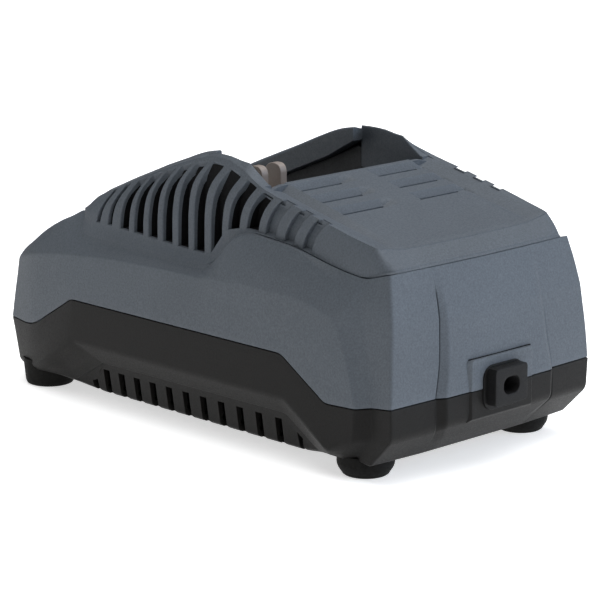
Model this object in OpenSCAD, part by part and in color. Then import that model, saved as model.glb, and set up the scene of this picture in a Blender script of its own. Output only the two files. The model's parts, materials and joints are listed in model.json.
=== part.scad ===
// Battery charger for a slide-on tool battery.
// +X is one side, +Y is the rear where the mains gland sits, +Z is up.
// The origin is at the bottom centre of the whole body, on the plane of the
// four feet. Y is counted from the fan side of the dock, and place() moves
// each piece to that origin.

/* [Feet] */
// Radius of a rear foot
foot_r = 11.8; // [10:0.1:12]
// Radius of a front foot at its tread
front_foot_r = 10.5; // [9.5:0.1:11]

/* [Ventilation] */
// Average distance from one side fin to the next
fin_pitch = 10; // [9.8:0.1:10.2]
// Width of a slot between two side fins
fin_slot = 5.7; // [4.5:0.1:6]
// Distance from one base vent to the next
vent_pitch = 11; // [10:0.1:11]
// Width of a base vent
vent_slot = 4; // [3:0.1:5]
// Distance from one row of top louvres to the next
louvre_pitch = 12; // [11:0.1:12.5]

/* [Dock] */
// Half the gap between the two rails that hold the battery
rail_half_gap = 38.8; // [37.5:0.1:40]
// Half the width of the channel below the rails
dock_half_w = 44.6; // [43.5:0.1:44.6]
// Slope of the dock floor in degrees
dock_slope = 21.8; // [21.5:0.1:22]

/* [Mains gland] */
// Radius of the round cord passage
gland_bore_r = 3.4; // [2.8:0.1:3.6]
// Height of the cord passage above the surface
gland_z = 34.6; // [34:0.1:35.2]

/* [Fan] */
// Radius of the fan wheel
fan_r = 26.5; // [24:0.1:27]
// Number of fan blades
fan_blades = 7; // [5:1:9]

/* [Walls] */
// Wall thickness of the mouldings
wall = 2.6; // [2.4:0.1:2.8]

/* [Hidden] */
$fn = 48;

blue_grey = [0.30, 0.34, 0.39];
charcoal = [0.10, 0.10, 0.10];
rubber = [0.04, 0.04, 0.04];
steel = [0.72, 0.73, 0.75];
board_green = [0.06, 0.30, 0.16];

y_mid = 4.75;        // puts the middle of the length at Y = 0
foot_h = 8;          // undersides of the corners
keel_z = 4.4;        // underside of the vented middle part
rim = wall + 0.4;    // wall at the parting line
board_z = 16;        // underside of the main board
board_t = 1.6;
top_z = board_z + board_t;

// ---------- helpers ----------
// Closed solid through rings of points that all have the same count. Each ring
// runs counter-clockwise when looked at against the direction of the rings.
// An arched ring goes out along its outside and back along its inside.
module skin(rings, arched = false) {
  n = len(rings[0]); m = len(rings); e = (m - 1) * n;
  polyhedron([for (r = rings) each r], concat(
    [for (j = [0:m-2], i = [0:n-1]) each [
      [j*n+i, (j+1)*n+(i+1)%n, j*n+(i+1)%n],
      [j*n+i, (j+1)*n+i, (j+1)*n+(i+1)%n]]],
    arched ? [for (i = [0:n/2-2]) each [
        [i, i+1, n-2-i], [i, n-2-i, n-1-i],
        [e+i, e+n-2-i, e+i+1], [e+i, e+n-1-i, e+n-2-i]]]
      : [[for (i = [0:n-1]) i], [for (i = [n-1:-1:0]) e+i]]), convexity = 8);
}
// An outline in Y and Z, extruded along X from x0 to x1
module prism_x(pts, x0, x1) {
  translate([x0, 0, 0]) rotate([90, 0, 90]) linear_extrude(x1 - x0) polygon(pts);
}
// An outline in X and Z, extruded along Y from y0 to y1
module prism_y(pts, y0, y1) {
  translate([0, y1, 0]) rotate([90, 0, 0]) linear_extrude(y1 - y0) polygon(pts);
}
module box(x0, x1, y0, y1, z0, z1) {
  translate([x0, y0, z0]) cube([x1 - x0, y1 - y0, z1 - z0]);
}
module place() { translate([0, y_mid, 0]) children(); }
module both() { children(); mirror([1, 0, 0]) children(); }
module screw(p, r, h, head_r, head_h) {
  translate(p) {
    cylinder(r = r, h = h);
    difference() {
      translate([0, 0, -head_h]) cylinder(r = head_r, h = head_h);
      translate([0, 0, -head_h - 1]) cylinder(r = head_r * 0.45, h = 1 + head_h * 0.6, $fn = 6);
    }
  }
}
function flip(p) = [-p[0], p[1], p[2]];

// ---------- character lines of the shells ----------
// Columns round one half of the body, from the front centre to the rear centre.
// Each has six heights: parting line, lower side, crease, slope, top edge, seam.
cols = [
 [[0,-131,29],[0,-129.5,35],[0,-128,41],[0,-127,45.5],[0,-125,49],[0,-121,50.5]],
 [[40,-131,29],[40,-129.5,35],[40,-128,41],[40,-127,45.5],[40,-125,49],[40,-121,50.5]],
 [[46.5,-130.5,29],[46.5,-129,36],[46.5,-127,43],[46.5,-125.5,48],[46.8,-123.5,51],[47,-120.5,52.5]],
 [[51,-130,29],[51,-128,38],[51.5,-125,49],[51,-123,55.5],[50,-121,58.5],[47,-118,59.5]],
 [[55,-129,29],[55.5,-126.5,39],[56,-122,57.5],[54.5,-119.5,61.5],[51.5,-116,64.5],[47,-112,65.5]],
 [[60,-108.5,29],[60.5,-108.5,44],[61,-107.5,61.5],[58.5,-106,67.5],[53,-104.5,73],[47,-102,73]],
 [[61.5,-93,38],[61.5,-93,50],[61.8,-93,64.5],[59,-92.5,69.5],[54,-91.5,79],[47,-91,80.5]],
 [[62,-86,42],[62,-86,52],[62,-86,65.5],[59.5,-85.5,70],[55.5,-84.5,76.5],[50,-83.5,83]],
 [[62.6,-78.5,46.4],[62.4,-78.5,56],[62,-78.5,66],[59.5,-78.5,70],[56.5,-78,73],[54,-77.5,77]],
 [[62.6,-50,46.4],[62.4,-50,57],[62,-50,68.5],[59.5,-50,71],[57,-50,73],[55.5,-50,76]],
 [[62.6,-12,46.4],[62.4,-12,57.5],[62,-12,69.5],[60,-12,71],[58,-12,72],[57,-12,74.5]],
 [[62.6,4,46.4],[62.5,4,58],[62,4,69.5],[60.5,4,71.5],[58.5,4.5,72.5],[57.5,5,75.5]],
 [[62.6,11,46.4],[62.6,11,58],[62.4,11.5,70],[60.5,11.5,74.5],[58.5,12,79],[57,12.5,81.5]],
 [[62.6,18,46.4],[62.6,18,58],[62.6,18,70.5],[61,18,78],[58,18,87],[56.5,18,89]],
 [[62.6,27,46.4],[62.8,27,58],[62.6,27,71],[61,27,80],[57,26.5,91],[55,26.5,91.8]],
 [[62.6,52.5,46.4],[62.8,52.5,58],[62.6,52.5,71],[60.5,52.5,79.5],[56.5,52.5,89.4],[54.5,52.5,89.4]],
 [[62.6,64,39.3],[62.8,64,54],[62.6,64,70.5],[60.5,64,78],[57,63,87],[54.5,63,87.2]],
 [[62.6,72,34.2],[62.7,72,50],[62.3,72.5,68.5],[60.5,71,75],[58,69,83.5],[54.5,71,85.5]],
 [[62.6,77.7,30.6],[62.6,79.5,48],[62,81.5,65],[61,81,72],[58,82,79],[54.5,82,83.5]],
 [[62.6,94.5,31.4],[62.3,90,48],[61.5,83.5,63.5],[60.5,86,69.5],[58.5,89,75.5],[54.5,90.5,82.6]],
 [[58.3,99.6,32],[58,98.6,45],[57.8,95.6,61.6],[57.5,93,69.5],[57,92,74.5],[54.5,93.5,82.6]],
 [[59.8,111.4,34],[58.8,110.7,47],[56.8,109,65],[55.8,107.7,71.5],[55,106.4,77],[53.2,104.2,85.4]],
 [[34.4,112.7,34.2],[31.5,112,47],[30,110.2,65],[29.7,108.8,71.5],[29.6,107.5,77],[31,105.2,85.4]],
 [[31.6,115.2,34.2],[28.8,114.2,47],[27.6,111.6,65],[27.4,109.8,71.5],[27.4,108,77],[28,105.4,85.4]],
 [[0,115.7,34.2],[0,114.8,47],[0,112.2,65],[0,110.4,71.5],[0,108.6,77],[0,106,85.4]]];
// Below the parting line: lower crease, inner edge of the chamfer, bottom edge.
base_cols = [
 [[0,-128.8,13],[0,-126.3,10],[0,-121.5,8]],
 [[40,-128.5,13],[40,-126,10],[38,-121,8]],
 [[46.5,-128,13],[46,-125.5,10],[44,-120.5,8]],
 [[51,-127,13],[50.5,-125,10],[48,-120,8]],
 [[55,-125.5,13],[54.5,-123,10],[51.5,-118,8]],
 [[60,-108.5,13],[58.5,-107.5,10],[54,-104,8]],
 [[61.5,-93,20],[59,-91,14],[55,-88,8]],
 [[62,-86,23],[59,-84,14],[55,-82,8]],
 [[62.6,-77,27],[58.8,-76,17],[53.5,-76,6.5]],
 [[62.6,-50,27.4],[58.7,-50,20],[51.6,-50,keel_z]],
 [[62.6,-12,27.4],[58.7,-12,20],[51.6,-12,keel_z]],
 [[62.6,4,27.4],[58.7,4,20],[51.6,4,keel_z]],
 [[62.6,11,27.4],[58.7,11,20],[51.6,11,keel_z]],
 [[62.6,18,27.4],[58.7,18,20],[51.6,18,keel_z]],
 [[62.6,27,27.4],[58.7,27,20],[51.6,27,keel_z]],
 [[62.6,53,27.4],[58.7,50,20],[51.6,50,keel_z]],
 [[62.6,64,21],[58.7,60,15],[53.5,60,6.5]],
 [[62.6,72,16],[59,68,10.5],[56,68,8]],
 [[62.6,78,12.5],[60,77,9],[57,76,8]],
 [[62.6,94.4,18.5],[60.5,88,10],[57,86,8]],
 [[58.5,99.6,20.5],[57.5,90,10],[56,88,8]],
 [[60,111.4,20.5],[59,101,10],[58,99,8]],
 [[35,112.7,20.5],[35,102.5,10],[35,100.5,8]],
 [[33,115.4,21.3],[33,104.5,10],[33,102.5,8]],
 [[0,115.9,21.3],[0,105,10],[0,103,8]]];
nc = len(cols);
loop = concat(cols, [for (i = [nc-2:-1:1]) [for (p = cols[i]) flip(p)]]);
base_loop = concat(base_cols, [for (i = [nc-2:-1:1]) [for (p = base_cols[i]) flip(p)]]);
n_loop = len(loop);
function ring(j) = [for (c = loop) c[j]];
function base_ring(j) = [for (c = base_loop) c[j]];
// a point moved into the wall: t sideways, d downwards
function inset(p, t, d) = [p[0] - sign(p[0]) * t * min(1, abs(p[0]) / 44),
   p[1] + (p[1] < -100 ? t : (p[1] > 98 ? -t * 1.15 : 0)), p[2] - d];
function seam_inset(p) = [p[0] - sign(p[0]) * (abs(p[0]) > 50 ? 1.5 : 0),
   p[1] - (p[1] > 98 ? 3 : 0), p[2] - wall];

// Ring-shaped shell: the rings close on themselves
module ring_shell(rings) {
  n = len(rings[0]); m = len(rings);
  polyhedron([for (r = rings) each r],
    [for (j = [0:m-1], i = [0:n-1]) let (k = (j+1)%m) each [
      [j*n+i, k*n+(i+1)%n, j*n+(i+1)%n],
      [j*n+i, k*n+i, k*n+(i+1)%n]]], convexity = 10);
}

// ---------- main housing ----------
module gland_notch(grow) {
  translate([0, 119, 33.8]) rotate([90, 0, 0]) linear_extrude(16)
    hull() for (x = [-6.5, 6.5], z = [-3.5, 3.5]) translate([x, z])
      circle(r = 5.5 + grow, $fn = 32);
}
boss_front = [52.5, -90];
boss_rear = [52.5, 66];
cover_front = [49.8, -73];
cover_rear = [41, 97.6];

module main_housing() color(blue_grey) difference() {
  union() {
    ring_shell(concat(
      [[for (p = ring(5)) seam_inset(p)]],
      [[for (p = ring(4)) inset(p, 2.2, 2.4)]],
      [[for (p = ring(3)) inset(p, rim, 1.5)]],
      [[for (p = ring(2)) inset(p, rim, 0)]],
      [[for (p = ring(1)) inset(p, rim, 0)]],
      [[for (p = ring(0)) inset(p, rim, 0)]],
      [for (j = [0:5]) ring(j)]));
    box(-18.7, 18.7, 112.9, 116.3, 34.2, 46.5);
    both() {
      // bosses that take the case screws
      translate([boss_front[0], boss_front[1], 45]) cylinder(r = 4.5, h = 14);
      box(55, 60.5, boss_front[1] - 1.2, boss_front[1] + 1.2, 45, 59);
      translate([boss_rear[0], boss_rear[1], 45]) cylinder(r = 4.5, h = 20);
      box(55, 61, boss_rear[1] - 1.2, boss_rear[1] + 1.2, 45, 65);
      // ledges under the top cover
      box(47.4, 60.5, cover_front[1] - 4, cover_front[1] + 4, 62, 64.5);
      box(35, 57, 93, 108.2, 68.5, 71);
    }
  }
  gland_notch(0.15);
  box(-12.1, 12.1, -132, -120, 35.9, 41.1);
  both() {
    translate([boss_front[0], boss_front[1], 40]) cylinder(r = 1.55, h = 17);
    translate([boss_rear[0], boss_rear[1], 40]) cylinder(r = 1.55, h = 23);
    translate([cover_front[0], cover_front[1], 60]) cylinder(r = 1.8, h = 8);
    translate([cover_rear[0], cover_rear[1], 66]) cylinder(r = 1.8, h = 8);
  }
}

// ---------- base ----------
function floor_in(p, t) = [p[0] - sign(p[0]) * t * min(1, abs(p[0]) / 44),
   p[1] + (p[1] < -100 ? t : (p[1] > 84 ? -t : 0)), p[2] + wall];
module tray_shell() {
  outer = [base_ring(2), base_ring(1), base_ring(0), ring(0)];
  inner = [[for (p = ring(0)) inset(p, rim, 0)],
           [for (p = base_ring(0)) inset(p, rim, -1)],
           [for (p = base_ring(1)) inset(p, rim, -2.2)],
           [for (p = base_ring(2)) floor_in(p, 2)]];
  rings = concat(outer, inner);
  n = n_loop; m = len(rings); o = (m - 1) * n;
  function opp(i) = (n - i) % n;
  polyhedron([for (r = rings) each r], concat(
    [for (j = [0:m-2], i = [0:n-1]) each [
      [j*n+i, (j+1)*n+i, j*n+(i+1)%n],
      [j*n+(i+1)%n, (j+1)*n+i, (j+1)*n+(i+1)%n]]],
    // underside and floor, as strips across the tray
    [[0, 1, opp(1)], [nc-2, nc-1, opp(nc-2)]],
    [for (i = [1:nc-3]) each [[i, i+1, opp(i+1)], [i, opp(i+1), opp(i)]]],
    [[o, o+opp(1), o+1], [o+nc-2, o+opp(nc-2), o+nc-1]],
    [for (i = [1:nc-3]) each [[o+i, o+opp(i+1), o+i+1], [o+i, o+opp(i), o+opp(i+1)]]]),
    convexity = 10);
}
board_holes = [[39, -94], [39, -10], [39, 74]];
module base_tray() color(charcoal) difference() {
  union() {
    tray_shell();
    box(-18.7, 18.7, 112.9, 116.3, 21.3, 34.2);
    both() {
      for (p = board_holes) let (z = p[1] == -10 ? 6 : 9.2)
        translate([p[0], p[1], z]) cylinder(r = 3.4, h = board_z - z);
      translate([47.5, -112, 9]) cylinder(r = 4.5, h = 6);
      translate([46.7, 85.4, 9]) cylinder(r = 4.5, h = 6);
      translate([boss_front[0], boss_front[1], 9]) cylinder(r = 4.5, h = 36);
      box(54, 60.5, boss_front[1] - 1.2, boss_front[1] + 1.2, 20, 38);
      translate([boss_rear[0], boss_rear[1], 9]) cylinder(r = 4.5, h = 36);
      box(54, 61, boss_rear[1] - 1.2, boss_rear[1] + 1.2, 20, 36);
    }
  }
  gland_notch(0.15);
  both() {
    for (i = [0:12]) let (y = -72 + i * vent_pitch)
      prism_y([[60, 17.2], [53, 1.5], [45.5, 1.5], [45.5, 6], [50, 17.2]], y, y + vent_slot);
    for (p = board_holes) translate([p[0], p[1], 10]) cylinder(r = 1.3, h = 8);
    translate([47.5, -112, 7]) cylinder(r = 1.55, h = 7);
    translate([46.7, 85.4, 7]) cylinder(r = 1.55, h = 7);
    for (b = [boss_front, boss_rear]) translate([b[0], b[1], 0]) {
      cylinder(r = 1.8, h = 46);
      cylinder(r = 3.3, h = 14);
    }
  }
}

// ---------- top cover ----------
// The louvred panel over the fan
function panel_z(y) = 106.9 - 0.261 * (y - 38.2);
// Height of the raised border beside the panel
function border_h(y) = max(0.1, 1.8 - 0.024 * (y - 28));
// Side fins, front to back
function slot_y(i) = -73.6 + (fin_pitch - 1.1) * i + 0.085 * i * i;
// Outer edge of the strip above the fins, and the foot of the fins
function strip_x(y) = lookup(y, [[-80, 46], [-50, 47.2], [-14, 45.4], [14, 44.8], [38, 47.2], [60, 48.5], [92, 48.8]]);
function strip_z(y) = lookup(y, [[-84, 84.5], [-69, 91.2], [-42, 103], [-14, 114.7], [-4, 115.8], [5, 115], [18, 112.5], [28, 106.8], [60, 99.7], [92, 92.6]]);
function fin_foot_z(y) = lookup(y, [[-80, 78.5], [-50, 77.4], [-12, 76], [4, 77], [12, 82.5], [18, 89.6], [27, 92], [52, 89.8], [92, 82.8]]);
function rail_z(y) = lookup(y, [[-88.8, 86.1], [-6.6, 118.6]]);
function beam_z(y) = lookup(y, [[-88, 75.8], [-47.5, 93], [-23, 103.3], [-6, 112.6]]);

// Hump stations: Y, height of the panel at the centre
hump = [[28.5, 109.4], [40, 106.4], [52, 103.3], [64, 100.2], [76, 97], [86, 94.4], [92, 92.6], [98, 90.6], [102, 88.4], [104.2, 86.4]];
module hump_shell() {
  skin([for (s = hump) let (y = s[0], z = s[1], b = s[0] < 90 ? border_h(s[0]) : 0.1,
      yc = y > 90 ? (y - 90) * 0.13 : 0,
      xo = strip_x(min(y, 92)) - (y > 92 ? (y - 92) * 0.25 : 0),
      zs = y > 100 ? 85.5 : y > 92 ? 84.4 : fin_foot_z(y), xs = y > 92 ? 54.2 - (y - 92) * 0.1 : 54.2,
      t = y > 103 ? 0.5 : y > 95 ? 1.0 : wall, d = y > 103 ? 0.3 : 1.2)
    [[-xs, y, zs], [-xo - 0.6, y, z - d + b], [-41.5, y, z + b], [-36.5, y, z], [0, y + yc, z + 0.2],
     [36.5, y, z], [41.5, y, z + b], [xo + 0.6, y, z - d + b], [xs, y, zs],
     [xs - 2.4, y, zs], [xo - 1.6, y, z - d - t + b], [41, y, z - t], [36, y, z - t], [0, y + yc, z - t],
     [-36, y, z - t], [-41, y, z - t], [-xo + 1.6, y, z - d - t + b], [-xs + 2.4, y, zs]]], true);
}
// One arm beside the dock: the rail with the strip over the fins
arm = [-84, -78, -69, -56, -42, -28, -14, -6.6];
module arm_bar() {
  skin([for (y = arm) let (xo = strip_x(y), zo = strip_z(y), zi = max(rail_z(y), zo), zb = min(beam_z(y), zo - 4))
    [[rail_half_gap, y, zb], [rail_half_gap, y, zi - 0.8], [rail_half_gap + 0.8, y, zi], [xo, y, zo],
     [xo + 1.4, y, zo - 2.2], [max(xo - 0.6, dock_half_w + 0.6), y, zb + 0.4 < zo - 5 ? zo - 5 : zb + 0.4],
     [dock_half_w + 0.5, y, zb]]]);
}
wall_ys = [[-7.3, 118.2], [6.4, 118.1], [13.3, 117.3], [18, 116.7], [28.6, 109]];
module arm_wall() {
  skin([for (s = wall_ys) let (y = s[0], zi = s[1], xo = strip_x(y), zo = min(strip_z(y), zi - 0.4))
    [[dock_half_w + 0.2, y, 100.3], [dock_half_w + 0.2, y, zi], [xo + 1.5, y, zo],
     [xo + 2.6, y, zo - 2.4], [xo + 2.2, y, zo - 5], [dock_half_w + 2.2, y, 100.3]]]);
}
module lip() {
  skin([for (s = [[-78.4, 80.4], [-76, 79.2], [-50, 77.7], [-12, 76.5], [3, 77.3]]) let (y = s[0], z = s[1])
    [[51.8, y, z - 1.5], [51.8, y, z], [55, y, z - 0.2], [55, y, z - 1.5]]]);
}
// One fin between two slots, y0 to y1
module fin(y0, y1) {
  y = (y0 + y1) / 2; xo = strip_x(y); zo = strip_z(y) - 1; zf = fin_foot_z(y) - 0.8;
  zk = max(zf + 1, zo - 12.6 * (54 - xo) / 8.5);
  prism_y([[54.2, zf], [54.2, zk], [xo + 0.6, zo], [xo - 1.6, zo - 1.6], [max(xo - 1.6, dock_half_w + 2.2), zo - 4.6],
           [51.2, zk - 1.4], [51.2, zf]], y0, y1);
}
module louvre(y, s) {
  // wedge pocket that ends in an open slit at its rear edge
  z = panel_z(y);
  for (k = [-1, 1]) scale([k, 1, 1]) translate([8.7, 0, 0])
    prism_x([[y - 6, panel_z(y - 6) + 0.01], [y - 6, panel_z(y - 6) + 4], [y, z + 4], [y, z - 6], [y - 0.9, z - 6], [y - 0.9, z - 2]], 0, 27.6);
}
fan_c = [0, 58];
module top_cover() color(blue_grey) difference() {
  union() {
    hump_shell();
    // front wall of the hump, facing the dock
    prism_y([[-dock_half_w, 94.4], [dock_half_w, 94.4], [dock_half_w + 3, 100.4], [44, 108.4], [-44, 108.4], [-dock_half_w - 3, 100.4]], 28.5, 31);
    both() {
      arm_bar();
      arm_wall();
      lip();
      for (i = [0:8]) fin(slot_y(i) + fin_slot, slot_y(i + 1) + (i == 0 ? 3.2 : 0));
      fin(-76.6, slot_y(0) + 3.2);
      for (i = [9:10]) fin(slot_y(i) + fin_slot - 0.3, slot_y(i + 1));
      // closed front end of the arm
      box(47.4, 48.8, -82, -79.5, 77, 84);
      box(47.4, 51.8, -80.6, -76.4, 80.9, 84);
      // screw bosses
      translate([cover_front[0], cover_front[1], 64.6]) cylinder(r = 2.6, h = 16);
      box(50, 52, cover_front[1] - 3, cover_front[1] + 3, 77.4, 80);
      translate([cover_rear[0], cover_rear[1], 71.1]) cylinder(r = 3.2, h = 17.6);
      translate([25, 33, 87]) cylinder(r = 3.4, h = 19.5);
      translate([25, 83, 87]) cylinder(r = 3.4, h = 6.8);
    }
  }
  for (k = [0:2]) louvre(38.2 + k * louvre_pitch, k);
  both() {
    // the last side slots, which are only shallow recesses
    for (i = [11:13]) let (y = slot_y(i), xo = strip_x(y), zo = strip_z(y), zf = fin_foot_z(y))
      prism_y([[56, zf + 1.5], [58, zf + 4], [xo + 5, zo + 3], [xo + 1, zo - 0.5], [53, zf + 3]], y, y + fin_slot);
    translate([cover_front[0], cover_front[1], 60]) cylinder(r = 1.25, h = 18);
    translate([cover_rear[0], cover_rear[1], 70]) cylinder(r = 1.25, h = 14);
    translate([25, 33, 80]) cylinder(r = 1.25, h = 20);
    translate([25, 83, 80]) cylinder(r = 1.25, h = 10.5);
  }
}

// ---------- dock ----------
dock_y0 = -118.5; dock_z0 = 51; dock_y1 = -9.6;
function dock_z(y) = dock_z0 + tan(dock_slope) * (min(y, dock_y1) - dock_y0);
dock_flat = dock_z(dock_y1);
term_y = -22;
module dock_tray() color(charcoal) difference() {
  union() {
    prism_x([[dock_y0, dock_z(dock_y0)], [dock_y1, dock_flat], [28.3, dock_flat], [28.3, dock_flat - 2.4],
             [dock_y1 + 0.6, dock_flat - 2.4], [dock_y0, dock_z0 - 2.6]], -dock_half_w - 1, dock_half_w + 1);
    both() prism_x([[dock_y0, dock_z0 - 2.6], [dock_y0, dock_z0 + 3], [-115, 58.5], [-110, 64.5], [-101, 71.5], [-90, 78.5], [-86, 79],
                    [-85, 75.8], [-47.5, 92.6], [-23, 102.4], [-9, 108.7], [-7.8, 100.2], [-7, 100], [28.3, 100], [28.3, dock_flat - 2.4],
                    [dock_y1 + 0.6, dock_flat - 2.4]], dock_half_w, dock_half_w + 2);
  }
  for (x = [-5.5, 5.5]) box(x - 1.6, x + 1.6, term_y - 7, term_y - 5, 80, 100);
  both() translate([16, term_y, dock_z(term_y)]) rotate([dock_slope, 0, 0]) translate([0, 0, -10]) cylinder(r = 1.25, h = 20);
}

// ---------- terminals ----------
module terminal_block() color([0.62, 0.58, 0.53]) difference() {
  union() {
    translate([0, term_y, dock_z(term_y)]) rotate([dock_slope, 0, 0]) {
      box(-21, 21, -8, 7, 0.05, 3);
      box(-10, 10, -9, 7, 0.05, 3);
    }
    for (x = [-5.5, 5.5]) translate([x - 2, 0, 0]) difference() {
      prism_x([[-27, 92], [-27, 101], [-24, 104.6], [-21.4, 105.6], [-18, 105.6], [-16.2, 104.4], [-15.5, 102.4], [-15.5, 94.6]], 0, 4);
    }
  }
  for (x = [-5.5, 5.5]) box(x - 1.55, x + 1.55, term_y - 6.4, term_y - 5.1, 80, 96);
  both() translate([16, term_y, dock_z(term_y)]) rotate([dock_slope, 0, 0]) translate([0, 0, -1]) cylinder(r = 1.6, h = 8);
}
module terminal_blades() color(steel)
  for (x = [-5.5, 5.5]) {
    box(x - 1.5, x + 1.5, term_y - 6.2, term_y - 5.2, 82, 95);
    box(x - 1.5, x + 1.5, term_y - 6.2, term_y - 5.1, 94, 101);
  }
module terminal_screws() color(steel) both()
  translate([16, term_y, dock_z(term_y)]) rotate([dock_slope, 0, 0]) translate([0, 0, 3])
    rotate([180, 0, 0]) screw([0, 0, 0], 1.2, 8, 2.6, 1.8);

// ---------- feet ----------
module foot(r0, r1, h) {
  rotate_extrude($fn = 96) polygon([[3.8, 0], [r0 - 0.8, 0], [r0, 0.8], [r1, h], [1.7, h], [1.7, 3.2], [3.8, 3.2]]);
}
front_pos = [47.5, -112];
rear_pos = [46.7, 85.4];
module front_feet() color(rubber) both() translate([front_pos[0], front_pos[1], 0]) foot(front_foot_r, front_foot_r + 1.2, 7.95);
module rear_feet() color(rubber) both() translate([rear_pos[0], rear_pos[1], 0]) foot(foot_r, foot_r, 7.95);
module foot_screws() color(steel) both() for (p = [front_pos, rear_pos])
  screw([p[0], p[1], 3.2], 1.5, 9.5, 3.3, 2);
module case_screws() color(steel) both() {
  screw([boss_front[0], boss_front[1], 14], 1.5, 38, 3, 2.4);
  screw([boss_rear[0], boss_rear[1], 14], 1.5, 42, 3, 2.4);
}
module cover_screws() color(steel) both() {
  screw([cover_front[0], cover_front[1], 62], 1.2, 12, 2.8, 2);
  screw([cover_rear[0], cover_rear[1], 68.5], 1.2, 12, 2.8, 2);
}

// ---------- mains gland ----------
module cord_gland() color(rubber) difference() {
  union() {
    translate([0, 116.4, 33.8]) rotate([90, 0, 0]) linear_extrude(7)
      hull() for (x = [-6.5, 6.5], z = [-3.5, 3.5]) translate([x, z]) circle(r = 5.5, $fn = 32);
    translate([0, 121.5, 34.9]) rotate([90, 0, 0]) linear_extrude(8)
      hull() for (x = [-5.2, 5.2], z = [-3.1, 3.1]) translate([x, z]) circle(r = 4.5, $fn = 32);
    box(-15.5, 15.5, 104.6, 109.4, 23.5, 45.5);
  }
  translate([0, 122, gland_z]) rotate([90, 0, 0]) cylinder(r = gland_bore_r, h = 20);
}

// ---------- main board and what it carries ----------
module main_board() color(board_green) difference() {
  box(-44, 44, -100, 80, board_z, top_z);
  both() for (p = board_holes) translate([p[0], p[1], board_z - 1]) cylinder(r = 1.6, h = 4);
}
module board_screws() color(steel) both() for (p = board_holes)
  translate([p[0], p[1], top_z]) rotate([180, 0, 0]) screw([0, 0, 0], 1.2, 7, 2.8, 1.8);
tr = [0, -50];
module transformer_core() color([0.18, 0.18, 0.19]) translate([tr[0], tr[1], top_z]) difference() {
  box(-22, 22, -8, 8, 0.05, 34);
  for (s = [-1, 1]) box(s * 11.5 - 5.5, s * 11.5 + 5.5, -9, 9, 5, 29);
}
module transformer_winding() color([0.78, 0.62, 0.15]) translate([tr[0], tr[1], top_z]) difference() {
  translate([0, 0, 5.1]) { cylinder(r = 15.6, h = 23.8); }
  box(-6.1, 6.1, -8.1, 8.1, 0, 40);
  for (s = [-1, 1]) box(s * 22 - 5.2, s * 22 + 5.2, -20, 20, 0, 40);
}
module bulk_capacitors() color([0.08, 0.09, 0.16]) for (x = [-25, 0, 25])
  translate([x, 4, top_z + 0.05]) rotate_extrude()
    polygon([[0, 0], [10.2, 0], [11, 0.8], [11, 3], [10.5, 3.6], [11, 4.2], [11, 33.2], [10.2, 34], [0, 34]]);
ck = [-24, 42];
module choke_core() color([0.16, 0.30, 0.20]) translate([ck[0], ck[1], top_z + 2]) rotate_extrude()
  translate([8.5, 0]) square([6, 11]);
module choke_windings() color([0.68, 0.36, 0.16]) translate([ck[0], ck[1], top_z]) for (a = [25, 205]) rotate([0, 0, a])
  rotate_extrude(angle = 130) difference() {
    translate([6.4, 0.1]) square([10.2, 14.8]);
    translate([8.4, 1.9]) square([6.2, 11.2]);
  }
module film_capacitor() color([0.85, 0.65, 0.10]) translate([22, 42, top_z + 0.05]) difference() {
  box(-13, 13, -6, 6, 0, 20);
  for (s = [-1, 1]) translate([s * 13, 0, 20]) rotate([0, 45, 0]) cube([1.4, 20, 1.4], center = true);
}
module fuse() color([0.80, 0.84, 0.86]) translate([24, 66, top_z + 5]) rotate([0, 90, 0]) {
  cylinder(r = 2.4, h = 20, center = true);
  for (s = [-1, 1]) translate([0, 0, s * 8.2]) cylinder(r = 2.6, h = 4.4, center = true);
}
module fuse_clips() color(steel) for (s = [-1, 1]) translate([24 + s * 8.2, 66, top_z]) difference() {
  box(-2, 2, -3.6, 3.6, 0.05, 7);
  translate([0, 0, 5]) rotate([0, 90, 0]) cylinder(r = 2.65, h = 10, center = true);
  box(-5, 5, -1.8, 1.8, 5, 9);
}
module mains_connector() color([0.86, 0.86, 0.82]) translate([-22, 68, top_z]) {
  difference() {
    box(-11, 11, -5, 5, 0.05, 9);
    for (s = [-1, 1]) box(s * 5 - 3.6, s * 5 + 3.6, -3.6, 3.6, 2.4, 10);
  }
  for (s = [-1, 1]) box(s * 5 - 1.5, s * 5 + 1.5, -0.4, 0.4, 2.2, 8.4);
}
module output_connector() color([0.86, 0.86, 0.82]) translate([0, -88, top_z]) difference() {
  box(-12, 12, -4.5, 4.5, 0.05, 8);
  for (s = [-1, 1]) translate([s * 7, 0, 3]) cylinder(r = 1.6, h = 8);
}
module control_chips() color([0.07, 0.07, 0.08]) {
  for (p = [[-16, -22, 5, 4], [-4, -24, 3, 2], [14, -22, 6, 5], [-24, 22, 5, 3], [8, 24, 4, 3]])
    box(p[0] - p[2], p[0] + p[2], p[1] - p[3], p[1] + p[3], top_z + 0.05, top_z + 2);
}
module heat_sinks() color([0.70, 0.71, 0.73]) both() difference() {
  union() {
    box(30, 33, -82, -22, top_z + 0.05, 46);
    for (i = [0:6]) box(32, 39, -81 + i * 9.4, -79.6 + i * 9.4, top_z + 4, 46);
  }
  for (y = [-70, -34]) translate([25, y, 38]) rotate([0, 90, 0]) cylinder(r = 1.3, h = 9);
}
module power_transistors() color([0.09, 0.09, 0.10]) both() for (y = [-70, -34]) difference() {
  union() { box(25.4, 29.95, y - 5, y + 5, 22, 34); box(28.4, 29.95, y - 5, y + 5, 34, 41); }
  translate([20, y, 38]) rotate([0, 90, 0]) cylinder(r = 1.7, h = 12);
}
module transistor_screws() color(steel) both() for (y = [-70, -34])
  translate([28.4, y, 38]) rotate([0, 90, 0]) screw([0, 0, 0], 1.2, 4.4, 2.6, 1.6);

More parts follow.
